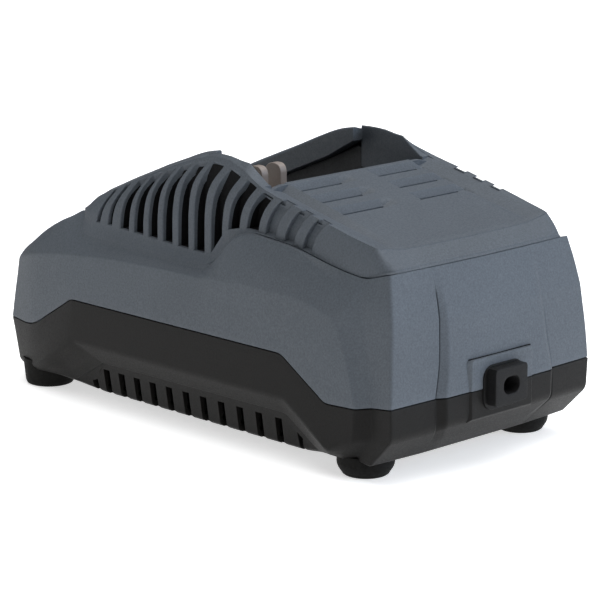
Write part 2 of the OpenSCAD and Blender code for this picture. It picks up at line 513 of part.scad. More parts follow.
// ---------- fan ----------
fz = 72;
module fan_frame() color([0.08, 0.08, 0.08]) translate([fan_c[0], fan_c[1], fz]) difference() {
  union() {
    difference() {
      box(-30, 30, -30, 30, 0, 15);
      translate([0, 0, -1]) cylinder(r = 28.2, h = 17, $fn = 96);
    }
    cylinder(r = 14, h = 2.4);
    for (a = [45, 135, 225, 315]) rotate([0, 0, a]) box(12, 29, -2, 2, 0, 2.4);
  }
  for (x = [-25, 25], y = [-25, 25]) translate([x, y, -1]) cylinder(r = 2.2, h = 20);
  translate([0, 0, -1]) cylinder(r = 3, h = 5);
}
module fan_stator() color([0.66, 0.40, 0.18]) translate([fan_c[0], fan_c[1], fz]) difference() {
  union() {
    translate([0, 0, 2.45]) cylinder(r = 10, h = 6.5);
    translate([0, 0, 0.2]) cylinder(r = 2.95, h = 11);
  }
  translate([0, 0, -1]) cylinder(r = 1.55, h = 20);
}
module fan_rotor() color([0.10, 0.10, 0.10]) translate([fan_c[0], fan_c[1], fz]) {
  difference() {
    translate([0, 0, 3]) cylinder(r = 13, h = 11);
    translate([0, 0, 2]) cylinder(r = 11.4, h = 10);
  }
  translate([0, 0, 0.6]) cylinder(r = 1.5, h = 12);
  for (i = [0:fan_blades-1]) rotate([0, 0, i * 360 / fan_blades]) intersection() {
    translate([fan_r / 2 + 4, 0, 8.4]) rotate([38, 0, 0]) cube([fan_r, 13, 1.4], center = true);
    difference() {
      translate([0, 0, 3.4]) cylinder(r = fan_r, h = 10.4);
      cylinder(r = 12.2, h = 20);
    }
  }
}
module fan_screws() color(steel) for (x = [-25, 25], y = [-25, 25])
  screw([fan_c[0] + x, fan_c[1] + y, fz], 1.2, 17 + (y < 0 ? 5 : 0), 2.8, 2);

// ---------- status light ----------
module status_board() color(board_green) box(-18, 18, -121.6, -120, 31, 45);
module status_lens() color([0.80, 0.85, 0.82]) {
  box(-12, 12, -128.4, -121.7, 36, 41);
  box(-15, 15, -124.4, -122.4, 34.6, 42.4);
}

// ---------- leads from the board to the terminals ----------
lead_pts = [[7, -88, 21.2], [7, -88, 28], [7, -86, 38], [7.5, -78, 49], [8, -66, 56], [8, -50, 61], [7.5, -38, 67], [6.5, -31, 74], [5.5, -28, 78.5], [5.5, -27.7, 81.9]];
function unit(v) = v / norm(v);
module tube(pts, r, k = 8) {
  m = len(pts);
  d = [for (i = [0:m-1]) unit(pts[min(i+1, m-1)] - pts[max(i-1, 0)])];
  skin([for (i = [0:m-1]) let (u = unit(cross(d[i], [1, 0, 0])), v = cross(d[i], u))
    [for (j = [0:k-1]) pts[i] + r * (cos(j * 360 / k) * u + sin(j * 360 / k) * v)]]);
}
module output_leads() color([0.65, 0.08, 0.06]) both() tube(lead_pts, 1.4);

place() base_tray();
place() main_housing();
place() top_cover();
place() dock_tray();
place() front_feet();
place() rear_feet();
place() foot_screws();
place() case_screws();
place() cover_screws();
place() cord_gland();
place() main_board();
place() board_screws();
place() transformer_core();
place() transformer_winding();
place() bulk_capacitors();
place() choke_core();
place() choke_windings();
place() film_capacitor();
place() fuse();
place() fuse_clips();
place() mains_connector();
place() output_connector();
place() control_chips();
place() heat_sinks();
place() power_transistors();
place() transistor_screws();
place() fan_frame();
place() fan_stator();
place() fan_rotor();
place() fan_screws();
place() terminal_block();
place() terminal_blades();
place() terminal_screws();
place() status_board();
place() status_lens();
place() output_leads();
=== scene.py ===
import json
import math

import bmesh
import bpy
import numpy as np
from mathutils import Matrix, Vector

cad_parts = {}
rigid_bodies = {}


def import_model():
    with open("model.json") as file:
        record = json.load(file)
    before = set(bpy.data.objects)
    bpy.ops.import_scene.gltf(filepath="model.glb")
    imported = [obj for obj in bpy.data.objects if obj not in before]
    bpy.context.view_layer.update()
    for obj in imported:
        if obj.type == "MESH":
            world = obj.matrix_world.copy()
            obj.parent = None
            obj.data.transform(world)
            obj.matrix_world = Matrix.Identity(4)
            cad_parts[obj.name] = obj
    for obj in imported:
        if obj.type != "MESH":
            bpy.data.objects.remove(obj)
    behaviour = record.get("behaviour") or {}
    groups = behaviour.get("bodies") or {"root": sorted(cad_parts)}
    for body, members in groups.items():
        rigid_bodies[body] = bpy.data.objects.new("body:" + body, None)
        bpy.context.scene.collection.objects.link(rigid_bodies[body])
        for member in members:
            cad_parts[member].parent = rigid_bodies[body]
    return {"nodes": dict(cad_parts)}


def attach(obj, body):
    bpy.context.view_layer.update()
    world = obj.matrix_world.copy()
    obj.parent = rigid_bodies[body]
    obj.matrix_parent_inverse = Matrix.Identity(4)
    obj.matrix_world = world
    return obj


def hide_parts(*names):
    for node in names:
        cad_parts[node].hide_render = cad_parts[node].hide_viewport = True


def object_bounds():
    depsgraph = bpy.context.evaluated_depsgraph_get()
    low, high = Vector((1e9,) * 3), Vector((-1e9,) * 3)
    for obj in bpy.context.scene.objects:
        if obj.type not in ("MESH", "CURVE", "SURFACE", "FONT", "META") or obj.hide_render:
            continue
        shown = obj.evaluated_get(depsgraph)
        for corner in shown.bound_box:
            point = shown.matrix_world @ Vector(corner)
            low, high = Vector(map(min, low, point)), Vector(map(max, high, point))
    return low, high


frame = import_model()
CAD_BOX = [list(v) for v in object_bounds()]
NODES = frame["nodes"]
MM = 0.001
DY = 4.75          # the tables below count Y from the fan side of the dock


# ------------------------------------------------------------------ mesh help
def clean(me, dist=1e-6):
    bm = bmesh.new()
    bm.from_mesh(me)
    bmesh.ops.remove_doubles(bm, verts=bm.verts, dist=dist)
    bmesh.ops.dissolve_degenerate(bm, edges=bm.edges, dist=dist * 0.5)
    loose = [v for v in bm.verts if not v.link_faces]
    bmesh.ops.delete(bm, geom=loose, context="VERTS")
    bmesh.ops.recalc_face_normals(bm, faces=bm.faces)
    bm.to_mesh(me)
    bm.free()


def piece(name, verts, faces, mat, slot, body="charger", node=None, bevel=0.0, segs=2,
          angle=38, smooth=38, weld=1e-6, raw=False):
    """A mesh from points in mm, placed in the row frame."""
    v = np.asarray(verts, float).reshape(-1, 3).copy()
    if not raw:
        v[:, 1] += DY
    v *= MM
    for k in range(3):                                      # nothing stands outside the CAD box
        v[:, k] = np.clip(v[:, k], CAD_BOX[0][k], CAD_BOX[1][k])
    me = bpy.data.meshes.new(name)
    me.from_pydata(v.tolist(), [], [list(map(int, f)) for f in faces])
    me.validate()
    if weld:
        clean(me, weld)
    ob = bpy.data.objects.new(name, me)
    bpy.context.scene.collection.objects.link(ob)
    me.materials.append(mat)
    if bevel:
        mod = ob.modifiers.new("edge", "BEVEL")
        mod.width = bevel * MM
        mod.segments = segs
        mod.limit_method = "ANGLE"
        mod.angle_limit = math.radians(angle)
        mod.use_clamp_overlap = False
        dg = bpy.context.evaluated_depsgraph_get()
        new = bpy.data.meshes.new_from_object(ob.evaluated_get(dg))
        ob.modifiers.clear()
        ob.data = new
        me = new
    for p in me.polygons:
        p.use_smooth = True
    me.set_sharp_from_angle(angle=math.radians(smooth))
    wn = ob.modifiers.new("normals", "WEIGHTED_NORMAL")
    wn.keep_sharp = True
    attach(ob, body)
    if node:
        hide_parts(*([node] if isinstance(node, str) else node))
    return ob


def fillet(P, d, n, m, closed=False):
    """Rounds a polyline. d is how far each round reaches, n its steps, m the points between rounds."""
    P = np.asarray(P, float)
    k = len(P)
    d = np.broadcast_to(np.asarray(d, float), (k,))
    n = np.broadcast_to(np.asarray(n, int), (k,))
    m = np.broadcast_to(np.asarray(m, int), (k,))
    A, B = P.copy(), P.copy()
    out = []
    rounds = []
    for i in range(k):
        if n[i] == 0 or (not closed and i in (0, k - 1)):
            rounds.append([P[i]])
            continue
        a, b = P[i - 1] - P[i], P[(i + 1) % k] - P[i]
        la, lb = np.linalg.norm(a) + 1e-9, np.linalg.norm(b) + 1e-9
        t = min(d[i], 0.47 * la, 0.47 * lb)
        A, B = P[i] + a / la * t, P[i] + b / lb * t
        u = np.linspace(0, 1, n[i] + 1)[:, None]
        rounds.append(list((1 - u) ** 2 * A + 2 * u * (1 - u) * P[i] + u ** 2 * B))
    for i in range(k):
        out += rounds[i]
        if i < k - 1 or closed:
            s, e = rounds[i][-1], rounds[(i + 1) % k][0]
            for q in range(m[i]):
                f = (q + 1) / (m[i] + 1)
                out.append(s + (e - s) * f)
    return np.array(out)


def grid_faces(rows, cols, close_c=False, close_r=False, flip=False):
    f = []
    for j in range(rows if close_r else rows - 1):
        for i in range(cols if close_c else cols - 1):
            a, b = j * cols + i, j * cols + (i + 1) % cols
            c, e = ((j + 1) % rows) * cols + (i + 1) % cols, ((j + 1) % rows) * cols + i
            f.append((a, b, c, e) if not flip else (a, e, c, b))
    return f


def loft(sections, caps=True):
    """Closed sections of equal counts, joined in order. Returns verts, faces."""
    S = np.array(sections, float)
    m, n = S.shape[0], S.shape[1]
    f = grid_faces(m, n, close_c=True)
    if caps:
        f.append(tuple(range(n))[::-1])
        f.append(tuple((m - 1) * n + i for i in range(n)))
    return S.reshape(-1, 3), f


def join(parts):
    V, F, o = [], [], 0
    for v, f in parts:
        v = np.asarray(v, float).reshape(-1, 3)
        V.append(v)
        F += [tuple(i + o for i in q) for q in f]
        o += len(v)
    return np.concatenate(V), F


def flipx(part):
    v, f = part
    v = np.asarray(v, float).reshape(-1, 3) * [-1, 1, 1]
    return v, [q[::-1] for q in f]


def both(part):
    return join([part, flipx(part)])


def rounded(poly2, r, n=4, m=0):
    """A closed 2-D outline with rounded corners."""
    p = np.array([[a, b, 0.0] for a, b in poly2])
    return fillet(p, r, n, m, closed=True)[:, :2]


def soft_prism(outline, y0, y1, e=0.4, axis="y", r=0.6, n=4):
    """An outline extruded along an axis, with rounded outline corners and eased end edges."""
    q = rounded(outline, r, n)
    c = q.mean(0)
    nxt, prv = np.roll(q, -1, 0), np.roll(q, 1, 0)
    t = nxt - prv
    t /= np.linalg.norm(t, axis=1)[:, None] + 1e-9
    nor = np.stack([t[:, 1], -t[:, 0]], 1)
    area = 0.5 * np.sum(q[:, 0] * nxt[:, 1] - nxt[:, 0] * q[:, 1])
    if area < 0:
        nor = -nor
    secs = []
    for y, off in ((y0, e), (y0 + e * 0.3, e * 0.3), (y0 + e, 0), (y1 - e, 0), (y1 - e * 0.3, e * 0.3), (y1, e)):
        s = q - nor * off
        if axis == "y":
            secs.append(np.stack([s[:, 0], np.full(len(s), y), s[:, 1]], 1))
        elif axis == "x":
            secs.append(np.stack([np.full(len(s), y), s[:, 0], s[:, 1]], 1))
        else:
            secs.append(np.stack([s[:, 0], s[:, 1], np.full(len(s), y)], 1))
    return loft(secs)


def revolve(profile, centre, n=96, axis="z"):
    """A closed (r, h) profile turned about an axis through centre."""
    pr = np.array(profile, float)
    secs = []
    for k in range(n):
        a = 2 * math.pi * k / n
        c, s = math.cos(a), math.sin(a)
        if axis == "z":
            secs.append(np.stack([pr[:, 0] * c, pr[:, 0] * s, pr[:, 1]], 1))
        else:
            secs.append(np.stack([pr[:, 0] * c, pr[:, 1], pr[:, 0] * s], 1))
    S = np.array(secs) + np.array(centre, float)
    m = len(pr)
    return S.reshape(-1, 3), grid_faces(n, m, close_c=True, close_r=True)


def lerp(y, table):
    t = np.array(table, float)
    return [float(np.interp(y, t[:, 0], t[:, k])) for k in range(1, t.shape[1])]


def smooth_lerp(y, table):
    """Interpolates with a monotone cubic, so that the line bends softly at its points."""
    t = np.array(table, float)
    x = t[:, 0]
    out = []
    for k in range(1, t.shape[1]):
        v = t[:, k]
        h, dl = np.diff(x), np.diff(v) / np.diff(x)
        g = np.zeros(len(x))
        g[0], g[-1] = dl[0], dl[-1]
        for i in range(1, len(x) - 1):
            if dl[i - 1] * dl[i] > 0:
                w1, w2 = 2 * h[i] + h[i - 1], h[i] + 2 * h[i - 1]
                g[i] = (w1 + w2) / (w1 / dl[i - 1] + w2 / dl[i])
        i = int(np.clip(np.searchsorted(x, y) - 1, 0, len(x) - 2))
        s = (np.clip(y, x[0], x[-1]) - x[i]) / h[i]
        out.append(float((1 + 2 * s) * (1 - s) ** 2 * v[i] + s * (1 - s) ** 2 * h[i] * g[i]
                         + s * s * (3 - 2 * s) * v[i + 1] + s * s * (s - 1) * h[i] * g[i + 1]))
    return out


# ------------------------------------------------------------------ materials
def nodes_of(name):
    mat = bpy.data.materials.new(name)
    mat.use_nodes = True
    nt = mat.node_tree
    for n in list(nt.nodes):
        nt.nodes.remove(n)
    out = nt.nodes.new("ShaderNodeOutputMaterial")
    sh = nt.nodes.new("ShaderNodeBsdfPrincipled")
    nt.links.new(sh.outputs[0], out.inputs[0])
    return mat, nt, sh


def moulded(name, color, rough=0.55, grain=1500.0, bump=0.25, depth=0.00012, speck=0.10, spec=0.4, wear=0.0,
            cloud=0.05, metallic=0.0, coat=0.0, rough_var=0.08):
    """Plastic, rubber or painted parts: fine mould grain, slight tone clouds and a little polish on the grain's tops."""
    mat, nt, sh = nodes_of(name)
    L = nt.links.new
    tc = nt.nodes.new("ShaderNodeTexCoord")
    fine = nt.nodes.new("ShaderNodeTexNoise")
    fine.inputs["Scale"].default_value = grain
    fine.inputs["Detail"].default_value = 2.5
    fine.inputs["Roughness"].default_value = 0.6
    L(tc.outputs["Object"], fine.inputs["Vector"])
    big = nt.nodes.new("ShaderNodeTexNoise")
    big.inputs["Scale"].default_value = 26.0
    big.inputs["Detail"].default_value = 3.0
    L(tc.outputs["Object"], big.inputs["Vector"])
    # colour: base, darkened in the grain's pits, with soft clouds
    r1 = nt.nodes.new("ShaderNodeMapRange")
    r1.inputs["From Min"].default_value = 0.30
    r1.inputs["From Max"].default_value = 0.70
    r1.inputs["To Min"].default_value = 1.0 - speck
    r1.inputs["To Max"].default_value = 1.0 + speck
    L(fine.outputs["Fac"], r1.inputs["Value"])
    r2 = nt.nodes.new("ShaderNodeMapRange")
    r2.inputs["From Min"].default_value = 0.3
    r2.inputs["From Max"].default_value = 0.7
    r2.inputs["To Min"].default_value = 1.0 - cloud
    r2.inputs["To Max"].default_value = 1.0 + cloud
    L(big.outputs["Fac"], r2.inputs["Value"])
    mul = nt.nodes.new("ShaderNodeMath")
    mul.operation = "MULTIPLY"
    L(r1.outputs[0], mul.inputs[0])
    L(r2.outputs[0], mul.inputs[1])
    col = nt.nodes.new("ShaderNodeVectorMath")
    col.operation = "SCALE"
    col.inputs[0].default_value = color[:3]
    L(mul.outputs[0], col.inputs["Scale"])
    if wear:
        geo = nt.nodes.new("ShaderNodeNewGeometry")
        wr = nt.nodes.new("ShaderNodeMapRange")
        wr.inputs["From Min"].default_value = 0.52
        wr.inputs["From Max"].default_value = 0.62
        wr.inputs["To Min"].default_value = 0.0
        wr.inputs["To Max"].default_value = wear
        L(geo.outputs["Pointiness"], wr.inputs["Value"])
        mix = nt.nodes.new("ShaderNodeMix")
        mix.data_type = "RGBA"
        mix.inputs["B"].default_value = [min(1, c * 1.5 + 0.01) for c in color[:3]] + [1]
        L(wr.outputs[0], mix.inputs["Factor"])
        L(col.outputs[0], mix.inputs["A"])
        L(mix.outputs["Result"], sh.inputs["Base Color"])
    else:
        L(col.outputs[0], sh.inputs["Base Color"])
    rr = nt.nodes.new("ShaderNodeMapRange")
    rr.inputs["From Min"].default_value = 0.3
    rr.inputs["From Max"].default_value = 0.7
    rr.inputs["To Min"].default_value = rough + rough_var
    rr.inputs["To Max"].default_value = rough - rough_var
    L(fine.outputs["Fac"], rr.inputs["Value"])
    L(rr.outputs[0], sh.inputs["Roughness"])
    bp = nt.nodes.new("ShaderNodeBump")
    bp.inputs["Strength"].default_value = bump
    bp.inputs["Distance"].default_value = depth
    L(fine.outputs["Fac"], bp.inputs["Height"])
    L(bp.outputs[0], sh.inputs["Normal"])
    sh.inputs["Specular IOR Level"].default_value = spec
    sh.inputs["Metallic"].default_value = metallic
    sh.inputs["Coat Weight"].default_value = coat
    return mat


def metal(name, color, rough=0.32, scale=900.0):
    mat, nt, sh = nodes_of(name)
    L = nt.links.new
    tc = nt.nodes.new("ShaderNodeTexCoord")
    nz = nt.nodes.new("ShaderNodeTexNoise")
    nz.inputs["Scale"].default_value = scale
    nz.inputs["Detail"].default_value = 3
    L(tc.outputs["Object"], nz.inputs["Vector"])
    rr = nt.nodes.new("ShaderNodeMapRange")
    rr.inputs["To Min"].default_value = rough - 0.08
    rr.inputs["To Max"].default_value = rough + 0.12
    L(nz.outputs["Fac"], rr.inputs["Value"])
    L(rr.outputs[0], sh.inputs["Roughness"])
    mr = nt.nodes.new("ShaderNodeMapRange")
    mr.inputs["To Min"].default_value = 0.86
    mr.inputs["To Max"].default_value = 1.08
    L(nz.outputs["Fac"], mr.inputs["Value"])
    col = nt.nodes.new("ShaderNodeVectorMath")
    col.operation = "SCALE"
    col.inputs[0].default_value = color[:3]
    L(mr.outputs[0], col.inputs["Scale"])
    L(col.outputs[0], sh.inputs["Base Color"])
    bp = nt.nodes.new("ShaderNodeBump")
    bp.inputs["Strength"].default_value = 0.15
    bp.inputs["Distance"].default_value = 0.00005
    L(nz.outputs["Fac"], bp.inputs["Height"])
    L(bp.outputs[0], sh.inputs["Normal"])
    sh.inputs["Metallic"].default_value = 1.0
    return mat


BLUE = moulded("blue_grey_plastic", (0.075, 0.0875, 0.103), rough=0.58, grain=1300, bump=0.35, speck=0.14, spec=0.30, wear=0.3)
BLACK = moulded("warm_black_plastic", (0.0060, 0.0056, 0.0051), rough=0.50, grain=1500, bump=0.25, speck=0.16, spec=0.14, wear=0.3)
# a darker copy of the blue plastic: painted shade for the dock walls, which sit in shadow
DOCK_SHADE = moulded("dock_painted_shade_plastic", (0.024, 0.026, 0.030), rough=0.6, grain=1400, bump=0.25, speck=0.12, spec=0.35)
RUBBER = moulded("foot_rubber", (0.0065, 0.0064, 0.0058), rough=0.7, grain=900, bump=0.3, speck=0.2, spec=0.12)
GLAND = moulded("gland_rubber", (0.0070, 0.0070, 0.0072), rough=0.55, grain=1700, bump=0.12, speck=0.1, spec=0.16)
BEIGE = moulded("beige_plastic", (0.235, 0.20, 0.178), rough=0.45, grain=1800, bump=0.10, speck=0.05, spec=0.45, wear=0.15)
STEEL = metal("zinc_steel", (0.62, 0.63, 0.65))
CONTACT = metal("plated_contact", (0.72, 0.63, 0.47), rough=0.28)
ALU = metal("extruded_aluminium", (0.70, 0.71, 0.73), rough=0.38, scale=500)
COPPER = metal("enamelled_copper", (0.62, 0.27, 0.12), rough=0.35)
BOARD = moulded("solder_mask", (0.02, 0.11, 0.045), rough=0.35, grain=300, bump=0.1, speck=0.25, spec=0.5, cloud=0.2)
FERRITE = moulded("ferrite", (0.04, 0.04, 0.045), rough=0.7, grain=800, bump=0.4, speck=0.3)
TAPE = moulded("winding_tape", (0.66, 0.45, 0.05), rough=0.35, grain=400, bump=0.15, speck=0.08)
SLEEVE = moulded("capacitor_sleeve", (0.02, 0.026, 0.075), rough=0.3, grain=300, bump=0.05, speck=0.08)
CHOKE = moulded("choke_coating", (0.04, 0.15, 0.075), rough=0.5, grain=700, bump=0.2, speck=0.15)
YELLOW = moulded("capacitor_case", (0.70, 0.43, 0.03), rough=0.4, grain=700, bump=0.1, speck=0.06)
NYLON = moulded("nylon", (0.70, 0.70, 0.64), rough=0.5, grain=900, bump=0.1, speck=0.05)
EPOXY = moulded("chip_epoxy", (0.02, 0.02, 0.022), rough=0.55, grain=1500, bump=0.2, speck=0.2)
FANP = moulded("fan_plastic", (0.02, 0.02, 0.021), rough=0.5, grain=1200, bump=0.15, speck=0.15)
RED = moulded("lead_insulation", (0.34, 0.02, 0.02), rough=0.4, grain=600, bump=0.1, speck=0.08)
# near-black that no light lifts: painted shade, laid into slots, slits and gaps where the inside falls into shadow
SHADE_BLACK = moulded("painted_shade_black", (0.0045, 0.0045, 0.005), rough=0.8, grain=1200, bump=0.2, speck=0.15, spec=0.12)
LENS = moulded("frosted_lens", (0.62, 0.68, 0.66), rough=0.35, grain=900, bump=0.08, speck=0.04, spec=0.5)
GLASS = moulded("fuse_glass", (0.70, 0.75, 0.77), rough=0.12, grain=200, bump=0.02, speck=0.03, spec=0.6)

CAD_FINISH = {
    "dock_tray": DOCK_SHADE, "front_feet": RUBBER, "rear_feet": RUBBER, "foot_screws": STEEL, "case_screws": STEEL,
    "cover_screws": STEEL, "main_board": BOARD, "board_screws": STEEL, "transformer_core": FERRITE,
    "transformer_winding": TAPE, "bulk_capacitors": SLEEVE, "choke_core": CHOKE, "choke_windings": COPPER,
    "film_capacitor": YELLOW, "fuse": GLASS, "fuse_clips": STEEL, "mains_connector": NYLON,
    "output_connector": NYLON, "control_chips": EPOXY, "heat_sinks": ALU, "power_transistors": EPOXY,
    "transistor_screws": STEEL, "fan_frame": FANP, "fan_stator": COPPER, "fan_rotor": FANP, "fan_screws": STEEL,
    "terminal_block": BEIGE, "terminal_blades": CONTACT, "terminal_screws": STEEL, "status_board": BOARD,
    "status_lens": LENS, "output_leads": RED, "base_tray": BLACK, "main_housing": BLUE, "top_cover": BLUE,
    "cord_gland": GLAND,
}
for n, ob in NODES.items():
    for s in ob.material_slots:
        s.material = CAD_FINISH[n]
    if not ob.material_slots:
        ob.data.materials.append(CAD_FINISH[n])

# ------------------------------------------------------------------ camera, floor, light
cam_data = bpy.data.cameras.new("camera")
cam = bpy.data.objects.new("camera", cam_data)
bpy.context.scene.collection.objects.link(cam)
AZ, EL, DIST = math.radians(135.61), math.radians(13.51), 1.20609
back = Vector((math.sin(AZ) * math.cos(EL), -math.cos(AZ) * math.cos(EL), math.sin(EL)))
target = Vector((0, DY * MM, 0.0488))
cam.location = target + back * DIST
cam.rotation_euler = (-back).to_track_quat("-Z", "Y").to_euler()
cam_data.lens = 168.48
cam_data.sensor_width = 36.0
cam_data.clip_end = 50
bpy.context.scene.camera = cam

fm = bpy.data.meshes.new("floor")
fm.from_pydata([(-9, -9, 0), (9, -9, 0), (9, 9, 0), (-9, 9, 0)], [], [(0, 1, 2, 3)])
floor = bpy.data.objects.new("floor", fm)
bpy.context.scene.collection.objects.link(floor)
floor_mat, fnt, fsh = nodes_of("floor_pale")
fsh.inputs["Base Color"].default_value = (0.86, 0.86, 0.865, 1)
fsh.inputs["Roughness"].default_value = 0.75
fsh.inputs["Specular IOR Level"].default_value = 0.1
fsh.inputs["Emission Color"].default_value = (1, 1, 1, 1)
fsh.inputs["Emission Strength"].default_value = 0.6
fm.materials.append(floor_mat)

world = bpy.data.worlds.new("studio")
bpy.context.scene.world = world
world.use_nodes = True
wn = world.node_tree
bg = wn.nodes["Background"]
wtc = wn.nodes.new("ShaderNodeTexCoord")
wsep = wn.nodes.new("ShaderNodeSeparateXYZ")
wn.links.new(wtc.outputs["Generated"], wsep.inputs[0])
wr = wn.nodes.new("ShaderNodeValToRGB")
wr.color_ramp.elements[0].position = 0.0
wr.color_ramp.elements[0].color = (0.42, 0.42, 0.43, 1)
wr.color_ramp.elements[1].position = 0.9
wr.color_ramp.elements[1].color = (1.0, 1.0, 1.0, 1)
wn.links.new(wsep.outputs["Z"], wr.inputs[0])
wn.links.new(wr.outputs[0], bg.inputs["Color"])
bg.inputs["Strength"].default_value = 0.08


def area(name, loc, to, size, power, color=(1, 1, 1)):
    d = bpy.data.lights.new(name, "AREA")
    d.shape = "SQUARE"
    d.size = size
    d.energy = power
    d.color = color
    o = bpy.data.objects.new(name, d)
    bpy.context.scene.collection.objects.link(o)
    o.location = loc
    o.rotation_euler = (Vector(loc) - Vector(to)).to_track_quat("Z", "Y").to_euler()
    return o


area("key_top", (-0.3, 0.5, 2.6), (0, 0.1, 0), 3.6, 118)
area("rear_soft", (-1.5, 2.2, 0.9), (0, 0, 0.05), 1.4, 31, (0.80, 0.95, 1.18))
area("front_fill", (0.75, -0.95, 0.42), (0.05, -0.1, 0.05), 0.5, 1.1, (1.0, 0.99, 0.97))
bpy.context.scene.view_settings.view_transform = "Standard"
bpy.context.scene.view_settings.look = "None"

# ------------------------------------------------------------------ main housing
# Columns round one half from the front centre to the rear centre; six heights each:
# parting line, lower side, crease, slope, top edge, seam. Then the reach of the round on the column.
COLS = [
    ([(0, -131, 29), (0, -129.6, 35), (0, -128, 41), (0, -126.8, 45.5), (0, -125, 49), (0, -121, 50.5)], 8),
    ([(40, -131, 29), (40, -129.6, 35), (40, -128, 41), (40, -126.8, 45.5), (40, -125, 49), (40, -121, 50.5)], 4),
    ([(46.5, -130.6, 29), (46.5, -129, 36), (46.5, -127.2, 43), (46.6, -125.5, 48), (46.8, -123.5, 51), (47, -120.5, 52.5)], 3),
    ([(51, -130.1, 29), (51, -128.1, 38), (51.4, -125.2, 49), (50.8, -122.8, 55.5), (49.8, -120.8, 58.5), (47, -118, 59.5)], 3),
    ([(55.2, -129, 29), (55.5, -126.7, 39), (56, -122, 57.5), (54.4, -119.5, 61.5), (51.4, -116, 64.5), (47, -112, 65.5)], 3),
    ([(60, -108.7, 29), (60.4, -108.5, 44), (60.9, -107.5, 61.5), (58.2, -106, 67.5), (53, -104.5, 73), (47, -102, 73)], 7),
    ([(61.4, -93, 37.9), (61.6, -93, 50), (61.8, -93, 64.3), (59, -92.5, 69.5), (53.9, -91.5, 79), (47, -91, 80.5)], 5),
    ([(62, -86, 41.9), (62.1, -86, 52), (62, -86, 65.3), (59.3, -85.5, 70), (55.2, -84.5, 76.5), (49.6, -83.2, 83.6)], 2),
    ([(62.6, -78.3, 46.4), (62.4, -78.3, 56), (62, -78.3, 66.2), (59.2, -78.3, 69.4), (56.2, -78, 72.0), (55.2, -77.5, 75)], 4),
    ([(62.6, -50, 46.4), (62.4, -50, 57), (62, -50, 68.7), (59.1, -50, 70.1), (56.7, -50, 71.7), (56, -50, 74.6)], 9),
    ([(62.6, -12, 46.4), (62.4, -12, 57.5), (61.9, -12, 69.6), (59.6, -12, 70.2), (57.7, -12, 71.0), (57, -12, 73.6)], 9),
    ([(62.6, 4, 46.4), (62.5, 4, 58), (62, 4, 69.6), (60.1, 4.2, 70.9), (58.3, 4.5, 71.8), (57.4, 5, 74)], 4),
    ([(62.6, 11, 46.4), (62.6, 10, 58), (62.3, 9.5, 70.3), (60.7, 10.5, 74.5), (58.6, 11.5, 79), (57.2, 12.5, 80.5)], 4),
    ([(62.6, 18, 46.4), (62.75, 17, 58), (62.7, 16.5, 70.5), (60.9, 17.5, 78), (57.8, 18, 87), (56.4, 18.5, 88.4)], 5),
    ([(62.6, 27, 46.4), (62.8, 27, 58), (62.75, 27, 71), (60.9, 27, 79.8), (57, 27.2, 91), (55.2, 27.4, 91.4)], 6),
    ([(62.6, 52.5, 46.4), (62.8, 52.5, 58), (62.75, 52.5, 71), (60.7, 52.5, 79.4), (56.4, 52.5, 89.2), (54.8, 52.5, 89.2)], 7),
    ([(62.6, 64, 39.2), (62.75, 64, 54), (62.6, 64, 70.4), (60.7, 63.8, 78), (57, 63, 86.8), (54.8, 63, 87)], 4),
    ([(62.6, 72, 34.2), (62.75, 72, 50), (62.3, 72.5, 68.5), (60.7, 71, 75), (58, 69.5, 83.4), (54.8, 71, 85.2)], 3),
    ([(62.6, 77.7, 30.6), (62.7, 79.5, 48), (62, 81.5, 65), (60.8, 80.8, 72), (58.2, 82, 79.2), (54.8, 82, 83.3)], 3),
    ([(62.6, 94.5, 31.4), (62.3, 89.8, 48), (61.5, 83.7, 63.5), (60.6, 86, 69.3), (58.4, 89, 75.4), (54.6, 90.5, 82.4)], 0.9),
    ([(58.3, 99.6, 32.1), (58, 98.6, 45), (57.8, 95.6, 61.6), (57.5, 93, 69.9), (57.2, 91.6, 74.2), (54.4, 93.5, 82.5)], 0.7),
    ([(59.8, 111.4, 33.8), (58.8, 110.7, 47), (56.8, 109, 65), (55.8, 107.7, 71.5), (54.9, 106.4, 77), (53.2, 104.2, 85.4)], 1.6),
    ([(35.6, 112.65, 34), (32.7, 111.95, 47), (31.2, 110.15, 65), (30.9, 108.75, 71.5), (30.8, 107.45, 77), (32, 105.15, 85.4)], 0.2),
    ([(35.25, 110.6, 34), (32.35, 109.9, 47), (30.85, 108.3, 65), (30.55, 107.2, 71.5), (30.5, 107.3, 77), (31.6, 105.18, 85.4)], 0.05),
    ([(34.95, 112.5, 34), (32.05, 111.8, 47), (30.5, 110.1, 65), (30.2, 108.7, 71.5), (30.1, 107.45, 77), (31, 105.2, 85.4)], 0.1),
    ([(31.6, 115.2, 34.1), (28.8, 114.2, 47), (27.6, 111.6, 65), (27.4, 109.8, 71.5), (27.4, 108.1, 77), (28, 105.4, 85.4)], 0.8),
    ([(0, 115.7, 34.1), (0, 114.8, 47), (0, 112.2, 65), (0, 110.4, 71.5), (0, 108.7, 77), (0, 106, 85.4)], 8),
]
ROW_REACH = [0, 6, 1.6, 4, 1.8, 0.5]
NC = len(COLS)


def loop_of(j, cols):
    half = [c[j] for c in cols]
    return np.array(half + [(-p[0], p[1], p[2]) for p in half[-2:0:-1]], float)


def inward(loop, t, dz=0.0):
    """Moves a loop's points into the body."""
    p = loop.copy()
    p[:, 0] -= np.sign(p[:, 0]) * t * np.minimum(1, np.abs(p[:, 0]) / 40)
    p[:, 1] += np.where(p[:, 1] < -100, t, np.where(p[:, 1] > 97, -t * 1.1, 0))
    p[:, 2] += dz
    return p


